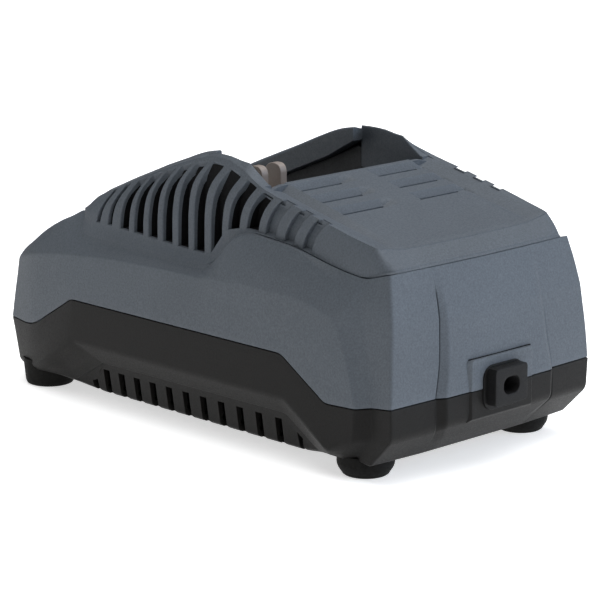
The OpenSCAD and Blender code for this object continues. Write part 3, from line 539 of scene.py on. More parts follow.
def housing_mesh():
    col_pts = []
    for pts, _ in COLS:
        pts = [np.array(p, float) for p in pts]
        seam, top = pts[5], pts[4]
        d = top - seam
        d /= np.linalg.norm(d)
        inn = np.array([-np.sign(seam[0]) if abs(seam[0]) > 50.5 or (abs(seam[0]) > 46 and seam[1] < 0) else 0.0,
                        1.0 if seam[1] < -117 else (-1.0 if seam[1] > 97 else 0.0), -0.4])
        if abs(seam[0]) > 50.5 and seam[1] < 97:
            inn[1] = 0
        # edge of the seam: turns down into the gap
        pts.append(seam + inn * 0.9 + np.array([0, 0, -0.5]))
        pts.append(seam + inn * 1.0 + np.array([0, 0, -2.6]))
        low = pts[0]
        col_pts.append([low + np.array([0, 0, 0.0])] + pts[1:] )
    nrow = len(col_pts[0])
    reach = [0, 6, 0.9, 3, 1.8, 0.5, 0.5, 0]
    ns = [0, 3, 4, 4, 4, 3, 2, 0]
    ms = [3, 3, 2, 2, 1, 0, 0, 0]
    rows = np.array([fillet(c, reach, ns, ms) for c in col_pts])        # columns x rows x 3
    R = rows.shape[1]
    loops = []
    cr = [c[1] for c in COLS]
    cr = np.array(cr + cr[-2:0:-1], float)
    cn = np.where(cr < 0.5, 2, 4)
    for j in range(R):
        half = rows[:, j, :]
        other = half.copy()
        other[23] = (half[22] + half[24]) / 2
        lp = np.concatenate([half, other[-2:0:-1] * [-1, 1, 1]])
        loops.append(fillet(lp, cr if j > 3 else np.where(np.abs(lp[:, 1]) < 80, np.minimum(cr, 2.2), cr), cn, 3, closed=True))
    loops = np.array(loops)
    # bottom rim, then the inside, back up to the seam
    bottom = loops[0]
    inner = [inward(bottom, 0.5, 0.35), inward(bottom, 2.6, 0.35)]
    step = max(1, R // 10)
    for j in range(2, R - 4, step):
        up = j / R
        inner.append(inward(loops[j], 2.8, -0.2 - 1.6 * up))
    last = loops[-1].copy()
    inner.append(inward(last, 1.2, -0.4))
    order = inner[::-1] + [loops[j] for j in range(R)]
    n = loops.shape[1]
    return np.concatenate(order), grid_faces(len(order), n, close_c=True, close_r=True)


hv, hf = housing_mesh()
housing = piece("housing_shell", hv, hf, BLUE, "blue_plastic", node="main_housing", smooth=30)


# ------------------------------------------------------------------ top cover
def plate(O, I, mask):
    """A wall with openings: its outer and inner grids, and which of their cells are filled."""
    O, I = np.asarray(O, float), np.asarray(I, float)
    R, C = O.shape[:2]
    n = R * C
    F = []
    for r in range(R - 1):
        for c in range(C - 1):
            if not mask[r][c]:
                continue
            a, b, d, e = r * C + c, r * C + c + 1, (r + 1) * C + c + 1, (r + 1) * C + c
            F += [(a, b, d, e), (n + a, n + e, n + d, n + b)]
            for p, q, rr, cc in ((a, b, r - 1, c), (b, d, r, c + 1), (d, e, r + 1, c), (e, a, r, c - 1)):
                if not (0 <= rr < R - 1 and 0 <= cc < C - 1 and mask[rr][cc]):
                    F.append((q, p, n + p, n + q))
    return np.concatenate([O.reshape(-1, 3), I.reshape(-1, 3)]), F


# Outer top edge of the cover: Y, X, Z
EDGE = [(-83.5, 48.2, 84.3), (-81, 48.0, 86.2), (-77, 47.8, 89.4), (-72, 47.7, 91.7), (-66, 47.8, 94.3), (-52, 47.8, 100.4),
        (-41, 47.7, 104.9), (-30, 47.6, 109.1), (-22, 47.4, 112.1), (-14, 47.3, 114.7), (-6, 47.2, 116.6), (0, 47.2, 117.3),
        (6, 47.4, 116.9), (13, 48, 115.3), (18, 48.8, 113.6), (24, 50.2, 111.4), (30, 51.2, 109.5), (35, 51.8, 108.1),
        (40.3, 52, 106.9), (49.7, 52, 104.9), (54.6, 52, 103.7), (65.2, 52, 101.2), (70.8, 52, 99.8), (76.1, 51.9, 98.5),
        (81.7, 51.8, 97.1), (86.9, 51.4, 95.9), (92.2, 51.1, 94.7), (95.1, 50.7, 94.0)]
# Top of the rail's inner face and ridge of the arm: Y, Z inner edge, X ridge, Z ridge
RIDGE = [(-84, 84.9, 41.6, 85.4), (-81, 87.2, 41.5, 87.9), (-77, 90.4, 41.4, 91.3), (-69, 94.2, 41.4, 95.1),
         (-61.7, 97.3, 42, 98.2), (-54.8, 100.2, 42.3, 101.1), (-48.1, 102.9, 42.4, 103.8), (-41.8, 105.6, 42.3, 106.4),
         (-35.9, 108.2, 41.9, 108.9), (-30.6, 110.5, 40.9, 111), (-25.4, 112.8, 40.2, 113), (-20.3, 114.9, 39.9, 115.0),
         (-14, 116.9, 39.8, 117.0), (-6.6, 118.5, 39.8, 118.5)]
WALL_TOP = [(-8, 118.4), (0, 118.55), (3, 118.5), (6, 118.3), (9.6, 117.7), (13, 117.2), (16.9, 116.9), (17.3, 116.6),
            (22, 113.4), (27.4, 109.8), (29, 109.3)]
BEAM_LOW = [(-84, 77.6), (-47.5, 93), (-23, 103.3), (-6.5, 112.4)]
LIP = [(-80, 80.9), (-70.4, 80.5), (-63, 80.4), (-54.9, 80.0), (-45.9, 79.6), (-36.6, 79.2), (-27.4, 78.7), (-17.8, 78.1),
       (-7.9, 77.8), (-1.7, 77.7), (2.5, 78.4), (5.5, 81.6), (9.1, 86.6), (13, 89.8), (19.5, 91.3), (24, 91.9), (30.8, 91.6),
       (34.9, 91.1), (45.9, 89.8), (56.4, 88.3), (61.3, 87.6), (72, 85.9), (82, 84.2), (90.5, 83.4), (104, 86.2)]
SLOT_F = [-70.4, -63.0, -54.9, -45.9, -36.6, -27.4, -17.8, -7.9, 2.5, 13.0, 24.0, 34.9, 45.9, 56.4]
SLOT_R = [-68.2, -60.4, -49.4, -40.1, -31.0, -21.6, -11.6, -1.7, 9.1, 19.5, 30.8, 40.6, 51.2, 61.3]
CURVE_TOP = [(-75, 93.4), (-70.4, 95.9), (-68.2, 97.0), (-63, 99.2), (-60.4, 100.2), (-54.9, 102.5), (-49.4, 104.6), (-45.9, 106.2),
             (-40.1, 108.1), (-36.6, 109.7), (-31, 111.6), (-27.4, 112.8), (-21.6, 114.3), (-17.8, 115.6), (-11.6, 116.7),
             (-7.9, 117.1), (-1.7, 116.3), (2.5, 115.6), (9.1, 113.8), (13, 112.3), (19.5, 111), (24, 110.2), (30.8, 109.4),
             (34.9, 108.5), (40.6, 107.2), (45.9, 106), (51.2, 105.1), (56.4, 104.2), (61.3, 103.2)]
SWEEP = [(-6, 18), (0, 12), (2, 10.1), (5, 7.1), (8, 4.6), (12, 2.3), (17, 0.9), (25, 0.1), (60, 0)]
EDGE_A = np.array([(y + 1.02 * (54 - x), z + 0.34 * (54 - x), y) for y, x, z in
                   [(q,) + tuple(smooth_lerp(q, EDGE)) for q in np.linspace(-83.5, 95.1, 500)]])


def edge_at(y):
    x, z = smooth_lerp(y, EDGE)
    return np.array([x, y, z])


def top_in(y):
    """Direction along the top surface, from its outer edge inwards."""
    ex, ez = smooth_lerp(y, EDGE)
    if y < -6.6:
        _, xr, zr = smooth_lerp(y, RIDGE)
    elif y < 28.6:
        xr, zr = 45.5, lerp(y, WALL_TOP)[0]
    else:
        xr, zr = 41.8, panel(41.8, y)
    return np.array([-1.0, 0.0, (zr - ez) / max(1.2, ex - xr)])


def panel_z(y):
    return 106.9 - 0.261 * (y - 38.2)


def border_h(y):
    return lerp(y, [(28, 2.6), (50, 2.2), (75, 1.3), (94, 0.2), (99, 0.1)])[0]


def panel(x, y):
    x = abs(x)
    z = panel_z(y)
    b = border_h(y)
    if x <= 36.5:
        return z
    if x <= 40.62:
        return z - b * (x - 36.5) / 4.12
    ex, ez = smooth_lerp(min(y, 95.1), EDGE)
    if y > 95.1:
        ez -= 0.261 * (y - 95.1)
    return z - b + (ez - z + b) * min(1.05, (x - 40.62) / (ex - 40.62))


def crest_y(x):
    return 96.4 - 1.3 * (abs(x) / 50.7) ** 2


V_TOP = 0.945
V_ROWS = [0.0, 0.05, 0.12, 0.2, 0.28, 0.36, 0.44, 0.52, 0.6, 0.67, 0.74, 0.8, 0.86, 0.905, V_TOP, 0.958, 0.972]
LIP_T = [0.0, 0.22, 0.45, 0.68, 0.86]


def round_in(d, r=0.6):
    return r - math.sqrt(max(0.0, r * r - (r - min(d, r)) ** 2))


def line_half(j):
    pts = [np.array(c[0][j], float) for c in COLS]
    reach = np.array([c[1] for c in COLS])
    return fillet(pts, reach, np.where(reach < 0.5, 2, 6), 6)


SEAM = line_half(5)
RIDGE4 = line_half(4)
SEAM_SIDE = np.array([p for p in SEAM if p[0] > 49 and -84 < p[1] < 96])


SIDE4 = np.array([p for p in RIDGE4 if p[0] > 49 and -86 < p[1] < 96])


def line_at(line, y):
    o = np.argsort(line[:, 1])
    s = line[o]
    return np.array([np.interp(y, s[:, 1], s[:, 0]), y, np.interp(y, s[:, 1], s[:, 2])])


def seam_at(y):
    """Where the cover's edge runs: on the housing beside the arms, in a gap from the fender on."""
    p = line_at(SEAM_SIDE, y)
    t = float(np.interp(y, [-84, -79, 4, 9], [0.06, 0.3, 0.3, 0.0]))
    return p + (line_at(SIDE4, y) - p) * t + [0.05 * t / 0.3, 0, 0.02]


def tuck(y):
    return float(np.interp(y, [-84, 4, 9, 14], [0.0, 0.0, 0.35, 0.5]))


def lower_rows(seam, foot, inn, k):
    q = min(1.0, k / 1.0)
    base = seam + inn * (k + 0.3 * q) + [0, 0, 0.35 * q]
    rows = [seam + inn * (k + 0.05 + 1.2 * (1 - q)) + [0, 0, -2.2 + 1.4 * (1 - q)], seam + inn * (k + 0.5 * (1 - q)) + [0, 0, -0.2 - 0.3 * (1 - q)],
            seam + inn * (k + 0.08) + [0, 0, 0.1 * q - 0.06 * (1 - q)]]
    for t in LIP_T:
        p = base + (foot - base) * t
        p[0] = foot[0] + (base[0] - foot[0]) * (1 - t) ** 1.5
        p[1] = foot[1] + (base[1] - foot[1]) * (1 - t) ** 1.5
        rows.append(p)
    last = rows[-1]
    d = foot - last
    ln = np.linalg.norm(d)
    rows.append(foot - d / ln * min(0.6, ln * 0.6))
    rows.append(foot - d / ln * min(0.18, ln * 0.2))
    return rows


def edge_rows(top, go, reach):
    top = np.asarray(top, float)
    return [top - [0, 0, 0.42], top + go * 0.05 - [0, 0, 0.13], top + go * 0.2 - [0, 0, 0.0], top + go * 0.55,
            top + go * reach]


def curve_column(yb):
    zt = np.interp(yb, [c[0] for c in CURVE_TOP], [c[1] for c in CURVE_TOP])
    zf = lerp(yb, LIP)[0]
    us = np.linspace(6, -6, 241)
    end = None
    for u in us:
        Y, Z = yb + float(np.interp(u, [s[0] for s in SWEEP], [s[1] for s in SWEEP])), zt - u
        if Z >= np.interp(Y, EDGE_A[:, 0], EDGE_A[:, 1]):
            end = (u, Y, Z)
            break
    u1, Y1, Z1 = end
    yE = float(np.interp(Y1, EDGE_A[:, 0], EDGE_A[:, 2]))
    T = edge_at(yE)
    foot = np.array([54.0, yb, zf])
    rows = lower_rows(seam_at(yb), foot, np.array([-1, 0, -0.15]), tuck(yb))
    def sweep(u):
        return smooth_lerp(u, SWEEP)[0]
    for v in V_ROWS:
        z = zf + (Z1 - zf) * v
        Y = yb + sweep(zt - z) - sweep(zt - zf)
        k = (54 - T[0]) * v ** 1.75
        if v > 0.9:
            w = (v - 0.9) / 0.1
            Y += w * (Y1 - (yb + sweep(u1) - sweep(zt - zf)))
        rows.append(np.array([54 - k, Y - 1.02 * k, z - 0.34 * k]))
    go = top_in(yE)
    rows += edge_rows(T, go, min(2.6, T[0] - 45.35))
    return np.array(rows)


def plain_column(seam, foot, top, go, reach, k, inn, bulge=0.0):
    rows = lower_rows(np.array(seam, float), np.array(foot, float), np.array(inn, float), k)
    foot, top = np.array(foot, float), np.array(top, float)
    for v in V_ROWS:
        p = foot + (top - foot) * v
        w = v ** 1.5
        p[0] = foot[0] + (top[0] - foot[0]) * w
        if abs(foot[1]) < 95:
            p[1] = foot[1] + (top[1] - foot[1]) * w
        p = p + np.array(inn, float) * -bulge * math.sin(math.pi * v) * [1, 1, 0]
        rows.append(p)
    rows += edge_rows(top, np.array(go, float), reach)
    return np.array(rows)


N_LOW = 3 + len(LIP_T) + 2
R_FOOT = N_LOW
R_TOP = N_LOW + V_ROWS.index(V_TOP)
cols_pts, cols_kind = [], []          # kind: (is rib, index) of the span to the right of the column


def mix(a, b, t):
    return a + (b - a) * t


# front end of the arm
for ys, foot, top in ((-83.1, (49.25, -83.2, 84.0), (48.2, -83.5, 84.3)),
                      (-81.7, (50.6, -81.7, 82.6), (48.0, -81.6, 85.7)),
                      (-80.0, (52.1, -79.9, 81.4), (47.9, -79.4, 87.6)),
                      (-78.3, (53.2, -77.9, 80.7), (47.8, -76.2, 89.9)),
                      (-76.2, (53.8, -75.4, 80.8), (47.7, -71.6, 91.9))):
    y = top[1]
    cols_pts.append(plain_column(seam_at(ys), foot, top, top_in(y), 2.2, 0.0, (-1, 0.1, -0.1), bulge=0.4))
    cols_kind.append("wall")
F_CURVE = [curve_column(y) for y in SLOT_F]
R_CURVE = [curve_column(y) for y in SLOT_R]


def add(pts, kind):
    cols_pts.append(pts)
    cols_kind.append(kind)


def span(A, B, left_soft, right_soft, n_mid=2):
    """Columns of a rib or wall from edge A to edge B; the soft ends are rounded."""
    w = np.linalg.norm(B[R_FOOT] - A[R_FOOT])
    ds = [0.0] + ([0.07, 0.2, 0.6] if left_soft else [])
    de = ([w - 0.6, w - 0.2, w - 0.07] if right_soft else []) + [w]
    mids = [ds[-1] + (de[0] - ds[-1]) * (i + 1) / (n_mid + 1) for i in range(n_mid)]
    for d in ds + mids + de:
        P = mix(A, B, d / w).copy()
        off = 0.0
        if left_soft:
            off = max(off, round_in(d))
        if right_soft:
            off = max(off, round_in(w - d))
        P[R_FOOT:R_TOP, 0] -= off
        P[R_TOP:, 0] -= off * 0.0
        add(P, "wall")


def slot(A, B, i):
    shallow = i >= 11
    A2, B2 = mix(A, B, 0.012).copy(), mix(A, B, 0.988).copy()
    if shallow:
        for P in (A2, B2):
            P[R_FOOT + 1:-1, 0] -= 2.2
            P[R_FOOT, 0] -= 0.4
            P[-5:-1, 2] -= 0.12
    cols_kind[-1] = "gap" if not shallow else "wall"
    add(A2, "gap" if not shallow else "wall")
    for t in (0.35, 0.65):
        add(mix(A2, B2, t), "gap" if not shallow else "wall")
    add(B2, "gap" if not shallow else "wall")


span(mix(cols_pts[-1], F_CURVE[0], 0.3), F_CURVE[0], False, True, 2)
for i in range(14):
    slot(F_CURVE[i], R_CURVE[i], i)
    if i < 13:
        span(R_CURVE[i], F_CURVE[i + 1], True, True, 2)

# from the last recess round the rear corner to the middle of the rear
REAR = []
y_last = R_CURVE[13][-6][1]
for ys, yt in ((66, 71.5), (70, 75.5), (75, 80), (80, 84.3), (85, 88), (89, 91)):
    s = seam_at(ys)
    t = edge_at(yt)
    f = np.array([54.0, ys + 0.2, lerp(ys, LIP)[0]])
    REAR.append((plain_column(s, f, t, top_in(yt), 2.6, 0.5, (-1, 0, -0.15), bulge=0.15), 0.0))
REAR.append((plain_column((53.4, 104.1, 85.3), (51.9, 102.9, 86.4), (50.7, 95.1, 94.0), (-0.8, -0.8, 0.05), 2.6, 0.8, (-0.8, -0.9, -0.15), bulge=0.3), 8.5))
for x in (36.5, 31, 24, 16, 8, 0):
    yc = crest_y(x)
    ys = float(np.interp(x, SEAM[::-1][:40, 0], SEAM[::-1][:40, 1])) if x < 50 else 104.2
    seam = (x, ys, 85.4)
    REAR.append((plain_column(seam, (x, ys - 1.9, 86.5), (x, yc, panel(x, yc)), (0, -1, 0.261), 2.6, 0.8, (0, -1, -0.15), bulge=0.25), 0.0))
keys = [np.array(r[0]) for r in REAR]
reach = [r[1] for r in REAR]
nr = len(V_ROWS) + N_LOW + 5
rear_cols = []
for r in range(nr):
    line = [R_CURVE[13][r]] + [k[r] for k in keys]
    rear_cols.append(fillet(line, [0.0] + reach, [0] + [9 if q > 3 else (6 if q > 1.9 else (3 if q > 0 else 1)) for q in reach], 1))
rear_cols = np.array(rear_cols).transpose(1, 0, 2)
# rounded edge of the last recess
A, B = rear_cols[0], rear_cols[1]
w = np.linalg.norm(B[R_FOOT] - A[R_FOOT])
for d in (0.0, 0.07, 0.2, 0.6):
    P = mix(A, B, d / w).copy()
    P[R_FOOT:R_TOP, 0] -= round_in(d)
    add(P, "wall")
for P in rear_cols[1:]:
    add(P, "wall")

G = np.array(cols_pts).transpose(1, 0, 2)                 # rows x columns x 3
kinds = cols_kind[:-1]
for c, k in enumerate(kinds):                             # soft lower edge of the openings
    if k == "gap":
        for j, off in ((R_FOOT, 0.5), (R_FOOT - 1, 0.16)):
            G[j, c, 0] = min(G[j, c, 0], 54.0 - off + 0.1)
nrow, ncol = G.shape[:2]
mask = np.ones((nrow - 1, ncol - 1), bool)
for c, k in enumerate(kinds):
    if k == "gap":
        mask[R_FOOT:R_TOP, c] = False
# inner side
IN = G.copy()
for r in range(nrow):
    for c in range(ncol):
        x, y, z = G[r, c]
        rim = r >= nrow - 3
        rear = y > 93.5 and abs(x) < 50.9
        if rim:
            IN[r, c] = (max(x - 0.4, 45.2) if not rear else x, y, z - 2.3)
        elif rear or (y > 95):
            IN[r, c] = (x - (1.2 if x > 45 else 0), y - 2.2, z - 1.6)
        else:
            v = max(0.0, min(1.0, (r - R_FOOT - 7) / (R_TOP - R_FOOT - 7)))
            dx = min(6.0 if r >= R_FOOT - 3 else 3.0, x - 45.7)
            if y > 62:
                dx = min(dx, 2.6)
            slope = 1.7 if y < 14 else 0.5
            IN[r, c] = (x - dx, y, z - slope * dx * v - (0.6 if r < R_FOOT else 0))
half_mask = mask
G2 = np.concatenate([G, (G[:, :-1] * [-1, 1, 1])[:, ::-1]], axis=1)
I2 = np.concatenate([IN, (IN[:, :-1] * [-1, 1, 1])[:, ::-1]], axis=1)
M2 = np.concatenate([mask, mask[:, ::-1]], axis=1)
T2 = np.array([1.5, 2.2])                                 # the coloured wall, then the near-black skin behind it: painted shade in the slots
D = I2 - G2
L = np.linalg.norm(D, axis=2)[:, :, None] + 1e-9
DEEP = np.full(G2.shape[:2], 1.3)
for r in range(nrow):
    v = min(1.0, max(0.0, (r - R_FOOT) / (R_TOP - R_FOOT)))
    for c in range(G2.shape[1]):
        DEEP[r, c] += 3.0 * v * v * float(np.interp(G2[r, c, 1], [-60, -10], [0.0, 1.0]))
        if r >= R_TOP:
            DEEP[r, c] = max(DEEP[r, c], L[r, c, 0] - 0.08)
MID = G2 + D * np.minimum(1.0, DEEP[:, :, None] / L)
LIN = G2 + D * np.minimum(1.0, (DEEP[:, :, None] + 0.02) / L)
ROWS = slice(R_FOOT - 3, nrow - 3)
cv, cf = plate(G2, MID, M2)
piece("cover_sides", cv, cf, BLUE, "blue_plastic", node="top_cover", smooth=33, weld=5e-6)
span_c = [c for c in range(ncol) if G[R_FOOT, c, 1] < 33]
CS = slice(0, span_c[-1] + 1)
# near-black skins on the inner side of the slot walls: painted shade deep in the slots
for s, name in ((1, "near"), (-1, "far")):
    sc = np.array([s, 1, 1])
    piece("grille_frame_" + name, *plate(LIN[ROWS, CS] * sc, I2[ROWS, CS] * sc, M2[R_FOOT - 3:nrow - 4, :span_c[-1]]),
          SHADE_BLACK, "dark_plastic", node="top_cover", smooth=33, weld=5e-6)

# arms: the rails over the dock, with the strip above the side slots
ys = sorted(set(np.linspace(-83.4, -6.9, 60).round(3)))
secs = []
for y in ys:
    ex, ez = smooth_lerp(y, EDGE)
    zi, xr, zr = smooth_lerp(y, RIDGE)
    zb = lerp(y, BEAM_LOW)[0]
    d = top_in(y)
    xo = ex - 1.3
    zo = ez + d[2] * 1.3 - 0.02
    secs.append([(38.8, y, zb + 0.3), (38.8, y, mix(zb, zi, 0.4)), (38.8, y, zi - 1.0), (38.93, y, zi - 0.5), (39.25, y, zi - 0.12), (39.7, y, zi + 0.02),
                 (mix(39.7, xr, 0.6), y, mix(zi, zr, 0.75)), (xr, y, zr), (mix(xr, xo, 0.12), y, mix(zr, zo, 0.1)), (mix(xr, xo, 0.5), y, mix(zr, zo, 0.5)), (xo, y, zo),
                 (xo, y, zo - 1.4), (45.6, y, min(zo - 3, zb + 3)), (45.6, y, min(zb, zo - 3.6)), (39.1, y, zb)])
S = np.array(secs)
c = S[-1].mean(0)
for y, k in ((-6.68, 0.35), (-6.6, 1.0)):
    e = S[-1].copy()
    e[:, 1] = y
    dd = c - S[-1]
    e += dd / (np.linalg.norm(dd, axis=1)[:, None] + 1e-9) * [0.35 * k, 0, 0.35 * k]
    e[:, 1] = y
    S = np.concatenate([S, e[None]])
arm_part = loft(S)
ys = [-7.4, -4, 0, 3, 6, 8, 10, 12, 14, 15.5, 16.8, 17.15, 17.5, 19, 21, 23, 25, 26.5, 27.6, 29.2]
secs = []
for y in ys:
    ex, ez = smooth_lerp(y, EDGE)
    zi = lerp(y, WALL_TOP)[0]
    d = top_in(y)
    xo = max(ex - 1.3, 45.7)
    zo = ez + d[2] * (ex - xo) - 0.02
    secs.append([(44.8, y, 100.3), (44.8, y, mix(100.3, zi, 0.5)), (44.8, y, zi - 0.7), (44.9, y, zi - 0.3), (45.12, y, zi - 0.06), (45.5, y, zi),
                 (mix(45.5, xo, 0.5), y, mix(zi, zo, 0.5)), (xo, y, zo), (xo, y, zo - 1.5), (46.6, y, zo - 3.4), (46.9, y, 100.3)])
wall_part = loft(secs)
piece("cover_arms", *both(join([arm_part, wall_part])), BLUE, "blue_plastic", node="top_cover", smooth=33, weld=1e-6)

# a near-black screen behind the side slots: painted shade for the slots' dark depth
secs = []
for y in np.linspace(-76, 34, 45):
    ex, ez = smooth_lerp(y, EDGE)
    x = float(np.interp(y, [-76, -8, -6, 30, 34], [46.4, 46.4, 47.3, 48.2, 48.2]))
    zt = ez - (3.0 if y < 16 else 2.6)
    zl = lerp(y, LIP)[0] - 4
    secs.append([(x, y, zl), (x, y, zt), (x + 0.25, y, zt), (x + 0.25, y, zl)])
piece("slot_screens", *both(loft(secs)), SHADE_BLACK, "dark_plastic", node="top_cover")

# hump: the panel with its louvres
xs_h = [0, 1.6, 3.2, 4.38, 5.8, 7.2, 8.66, 8.7, 12, 18, 24, 30, 36.3, 36.34, 36.5, 36.9, 37.6, 39.0, 40.4, 40.62, 41.2, 41.8, 42.4, 44.5, 47, 49]
rows_y = [28.5, 28.58, 28.8, 29.2, 31]
for k in range(3):
    y = 38.2 + 12 * k
    rows_y += [y - 7.3, y - 7.0, y - 6.9, y - 6.0, y - 5.2, y - 5.0, y - 4.0, y - 3.0, y - 1.5, y - 0.04, y, y + 0.06, y + 0.2, y + 0.5]
rows_y += [66, 70, 74, 78, 82, 86, 90, 93, 94.4]
rows_y = sorted(rows_y)
xs_f = [-x for x in xs_h[:0:-1]] + xs_h
P, Q, M = [], [], []
for j, y in enumerate(rows_y):
    po, qo = [], []
    for x in xs_f:
        yy = y if y < 80 else mix(y, crest_y(x) - 1.3, (y - 80) / 14.4)
        xx = x
        if abs(x) > 42.5:                                   # the outer columns follow the edge
            ex = smooth_lerp(min(yy, 95.1), EDGE)[0] - 1.4
            xx = math.copysign(42.2 + (ex - 42.2) * (abs(x) - 42.2) / (49 - 42.2), x)
        z = panel(xx, yy) - 0.02
        if y < 29.1:
            z -= {28.5: 0.65, 28.58: 0.28, 28.8: 0.07}.get(y, 0)
        ax = abs(x)
        for k in range(3):
            yk = 38.2 + 12 * k
            if 8.68 < ax < 36.32:
                if yk - 7.0 < y <= yk - 4.99:
                    z -= 2.4 * (y - yk + 7.0) / 2.0
                elif yk - 4.99 < y < yk - 0.02 and (abs(x - 8.7) < 0.01 or abs(x + 36.3) < 0.01):
                    z -= 2.4                                # the slot's end meets the ramp at the same depth
                elif yk - 0.01 <= y < yk + 0.4:
                    z -= 0.32 - 0.32 * math.sqrt(max(0.0, 1 - (1 - min(1.0, (y - yk) / 0.3)) ** 2))
            elif (2 < x < 8.7 or -43 < x < -36.3) and yk - 7.0 < y < yk - 0.02:
                s = 8.68 - ax if ax < 20 else ax - 36.32
                z -= max(0.0, 2.4 * min(1.0, (y - yk + 7.0) / 2.0) - 2.4 * max(0.0, s) / 5.5)
        po.append((xx, yy, z))
        qo.append((xx, yy, panel(xx, yy) - 3.2))
    P.append(po)
    Q.append(qo)
for j in range(len(rows_y) - 1):
    row = []
    for c in range(len(xs_f) - 1):
        xm = abs(xs_f[c] + xs_f[c + 1]) / 2
        ym = (rows_y[j] + rows_y[j + 1]) / 2
        slit = 8.68 < xm < 36.32 and any(38.2 + 12 * k - 5.0 < ym < 38.2 + 12 * k for k in range(3))
        row.append(not slit)
    M.append(row)
piece("cover_panel", *plate(P, Q, M), BLUE, "blue_plastic", node="top_cover", smooth=24, weld=1e-6)
# a near-black lining under the louvre slits: painted shade seen through them
P2 = (np.array(Q) - [0, 0, 0.02]).tolist()
Q2 = (np.array(Q) - [0, 0, 2.5]).tolist()
jj = [j for j, y in enumerate(rows_y) if 29 < y < 70]
cc = [c for c, x in enumerate(xs_f) if abs(x) < 41]
P2 = [[P2[j][c] for c in cc] for j in jj]
Q2 = [[Q2[j][c] for c in cc] for j in jj]
M3 = [[M[j][c] for c in cc[:-1]] for j in jj[:-1]]
piece("louvre_frame", *plate(P2, Q2, M3), SHADE_BLACK, "dark_plastic", node="top_cover", smooth=24, weld=1e-6)
front = [(-44.7, 94.4), (44.7, 94.4), (46.8, 100.4), (46.8, 107.6), (41, 108.9), (-41, 108.9), (-46.8, 107.6), (-46.8, 100.4)]
piece("cover_front_wall", *soft_prism(front, 28.6, 31.0, e=0.3, axis="y", r=0.4, n=2), BLUE, "blue_plastic", node="top_cover")

# ------------------------------------------------------------------ base tray
def panel_x(z):
    return 51.8 + 0.338 * (z - 4.4)


def low_key(a, b, b2, c, d, reach, under=(0, 0)):
    """Points of one base column: parting line, crease, chamfer, its lower edge, bottom edge and underside."""
    a, b, b2, c, d = [np.array(p, float) for p in (a, b, b2, c, d)]
    u = np.array([under[0], under[1], 0.0])
    return [a, b, b2, c, mix(c, d, 0.3), mix(c, d, 0.6), d, d + u * 1.0 + [0, 0, -0.02], d + u * 4.0, d + u * 8.0], reach


VENT = [-66.6 + 9.74 * (i - 1) + 0.104 * (i - 1) ** 2 for i in range(13)]


def side_key(v):
    ax = [-87.5, -69.2, -50, 30, 49.8, VENT[12] + 4, 63.8]
    ay = float(np.interp(v, ax, [-86, -78.3, -52, 31, 52.5, 64, 72]))
    by = float(np.interp(v, ax, [-89, -77.3, -52, 31, 53.9, 62, 70]))
    az = float(np.interp(ay, [-86, -78.3, 52.5, 64, 72], [41.9, 46.4, 46.4, 39.2, 34.2]))
    bz = float(np.interp(by, [-100, -77.3, 53.9, 78.2], [14.3, 27.5, 27.5, 11.4]))
    cy = float(np.interp(v, [-87.5, -69.2, -66.6, -62.6, -56, 49.8], [-87.5, -64.2, -63.4, -61, -55.6, 49.8])) if v < 49.8 else v
    cz = float(np.interp(cy, [-87.5, -64.2, 49.8, 63.8], [6.9, 19.3, 19.8, 6.7]))
    dz = float(np.interp(v, [-87.5, -80, -70, 54, 60, 63.8], [6.3, 5.2, 4.6, 4.6, 5.2, 6.1]))
    axx = float(np.interp(ay, [-86, -78.3, 52.5], [62, 62.6, 62.6]))
    a, b = np.array([axx, ay, az]), np.array([62.6 if v > -80 else 62.3, by, bz])
    c = np.array([panel_x(cz) + 0.35, cy, cz])
    inset = min(0.95, (cz - dz) * 0.3)
    tz = float(np.interp(v, [-87.5, VENT[0], VENT[0] + 4, -69.2, 49.8, VENT[12], VENT[12] + 4, 63.8],
                         [6.7, 8.2, 9.6, 15.6, 15.9, 11.6, 7.8, 6.4]))
    def on_panel(z, dx=0.0):
        lean = 2.4 * (15.6 - z) / 11.0 if -70 < v < 52 else 1.0 * (cz - z) / 11.0
        return np.array([panel_x(z) - inset + dx, v - min(2.4, max(0.0, lean)), z])
    p4 = c + [-inset - 0.25, 0, -0.4 * inset / 0.95]
    d = on_panel(dz)
    e = d + [-2.0, 0, -1.35]
    corner = v in (-87.5, -69.2, 49.8, 63.8) or v == VENT[12] + 4
    return [a, b, mix(b, c, 0.5), c, p4, on_panel(tz), d, e, e + [-1.2, 0, -0.02], e + [-6, 0, 0.0]], 2.0 if corner else 0.0


keys = [
    low_key((0, -131, 29), (0, -128.2, 10.4), (0, -127.6, 9.4), (0, -126.8, 8.5), (0, -125.4, 8), 8, (0, 1)),
    low_key((40, -131, 29), (40, -128, 10.4), (40, -127.4, 9.4), (39.6, -126.6, 8.5), (39.2, -125.2, 8), 4, (-0.2, 1)),
    low_key((46.5, -130.6, 29), (46.1, -127.5, 10.4), (45.9, -126.9, 9.4), (45.6, -126.2, 8.5), (45, -124.8, 8), 3, (-0.4, 1)),
    low_key((51, -130.1, 29), (50.4, -126.6, 10.4), (50.2, -126, 9.4), (49.8, -125.4, 8.5), (48.9, -124.2, 8), 3, (-0.6, 0.8)),
    low_key((55.2, -129, 29), (54.6, -125.2, 10.4), (54.4, -124.8, 9.4), (53.9, -124.2, 8.5), (52.8, -123.2, 8), 3, (-0.8, 0.6)),
    low_key((60, -108.7, 29), (59.7, -108.5, 10.2), (59.4, -108.2, 9.4), (58.9, -107.7, 8.6), (57.6, -106.8, 8), 7, (-1, 0.1)),
    low_key((61.4, -93, 37.9), (61.6, -98, 15.6), (60.2, -98.3, 12), (57.0, -99.6, 8.5), (55.9, -99.4, 7.9), 4, (-1, 0)),
]
vent_cols = []
kind_b = ["wall"] * len(keys)
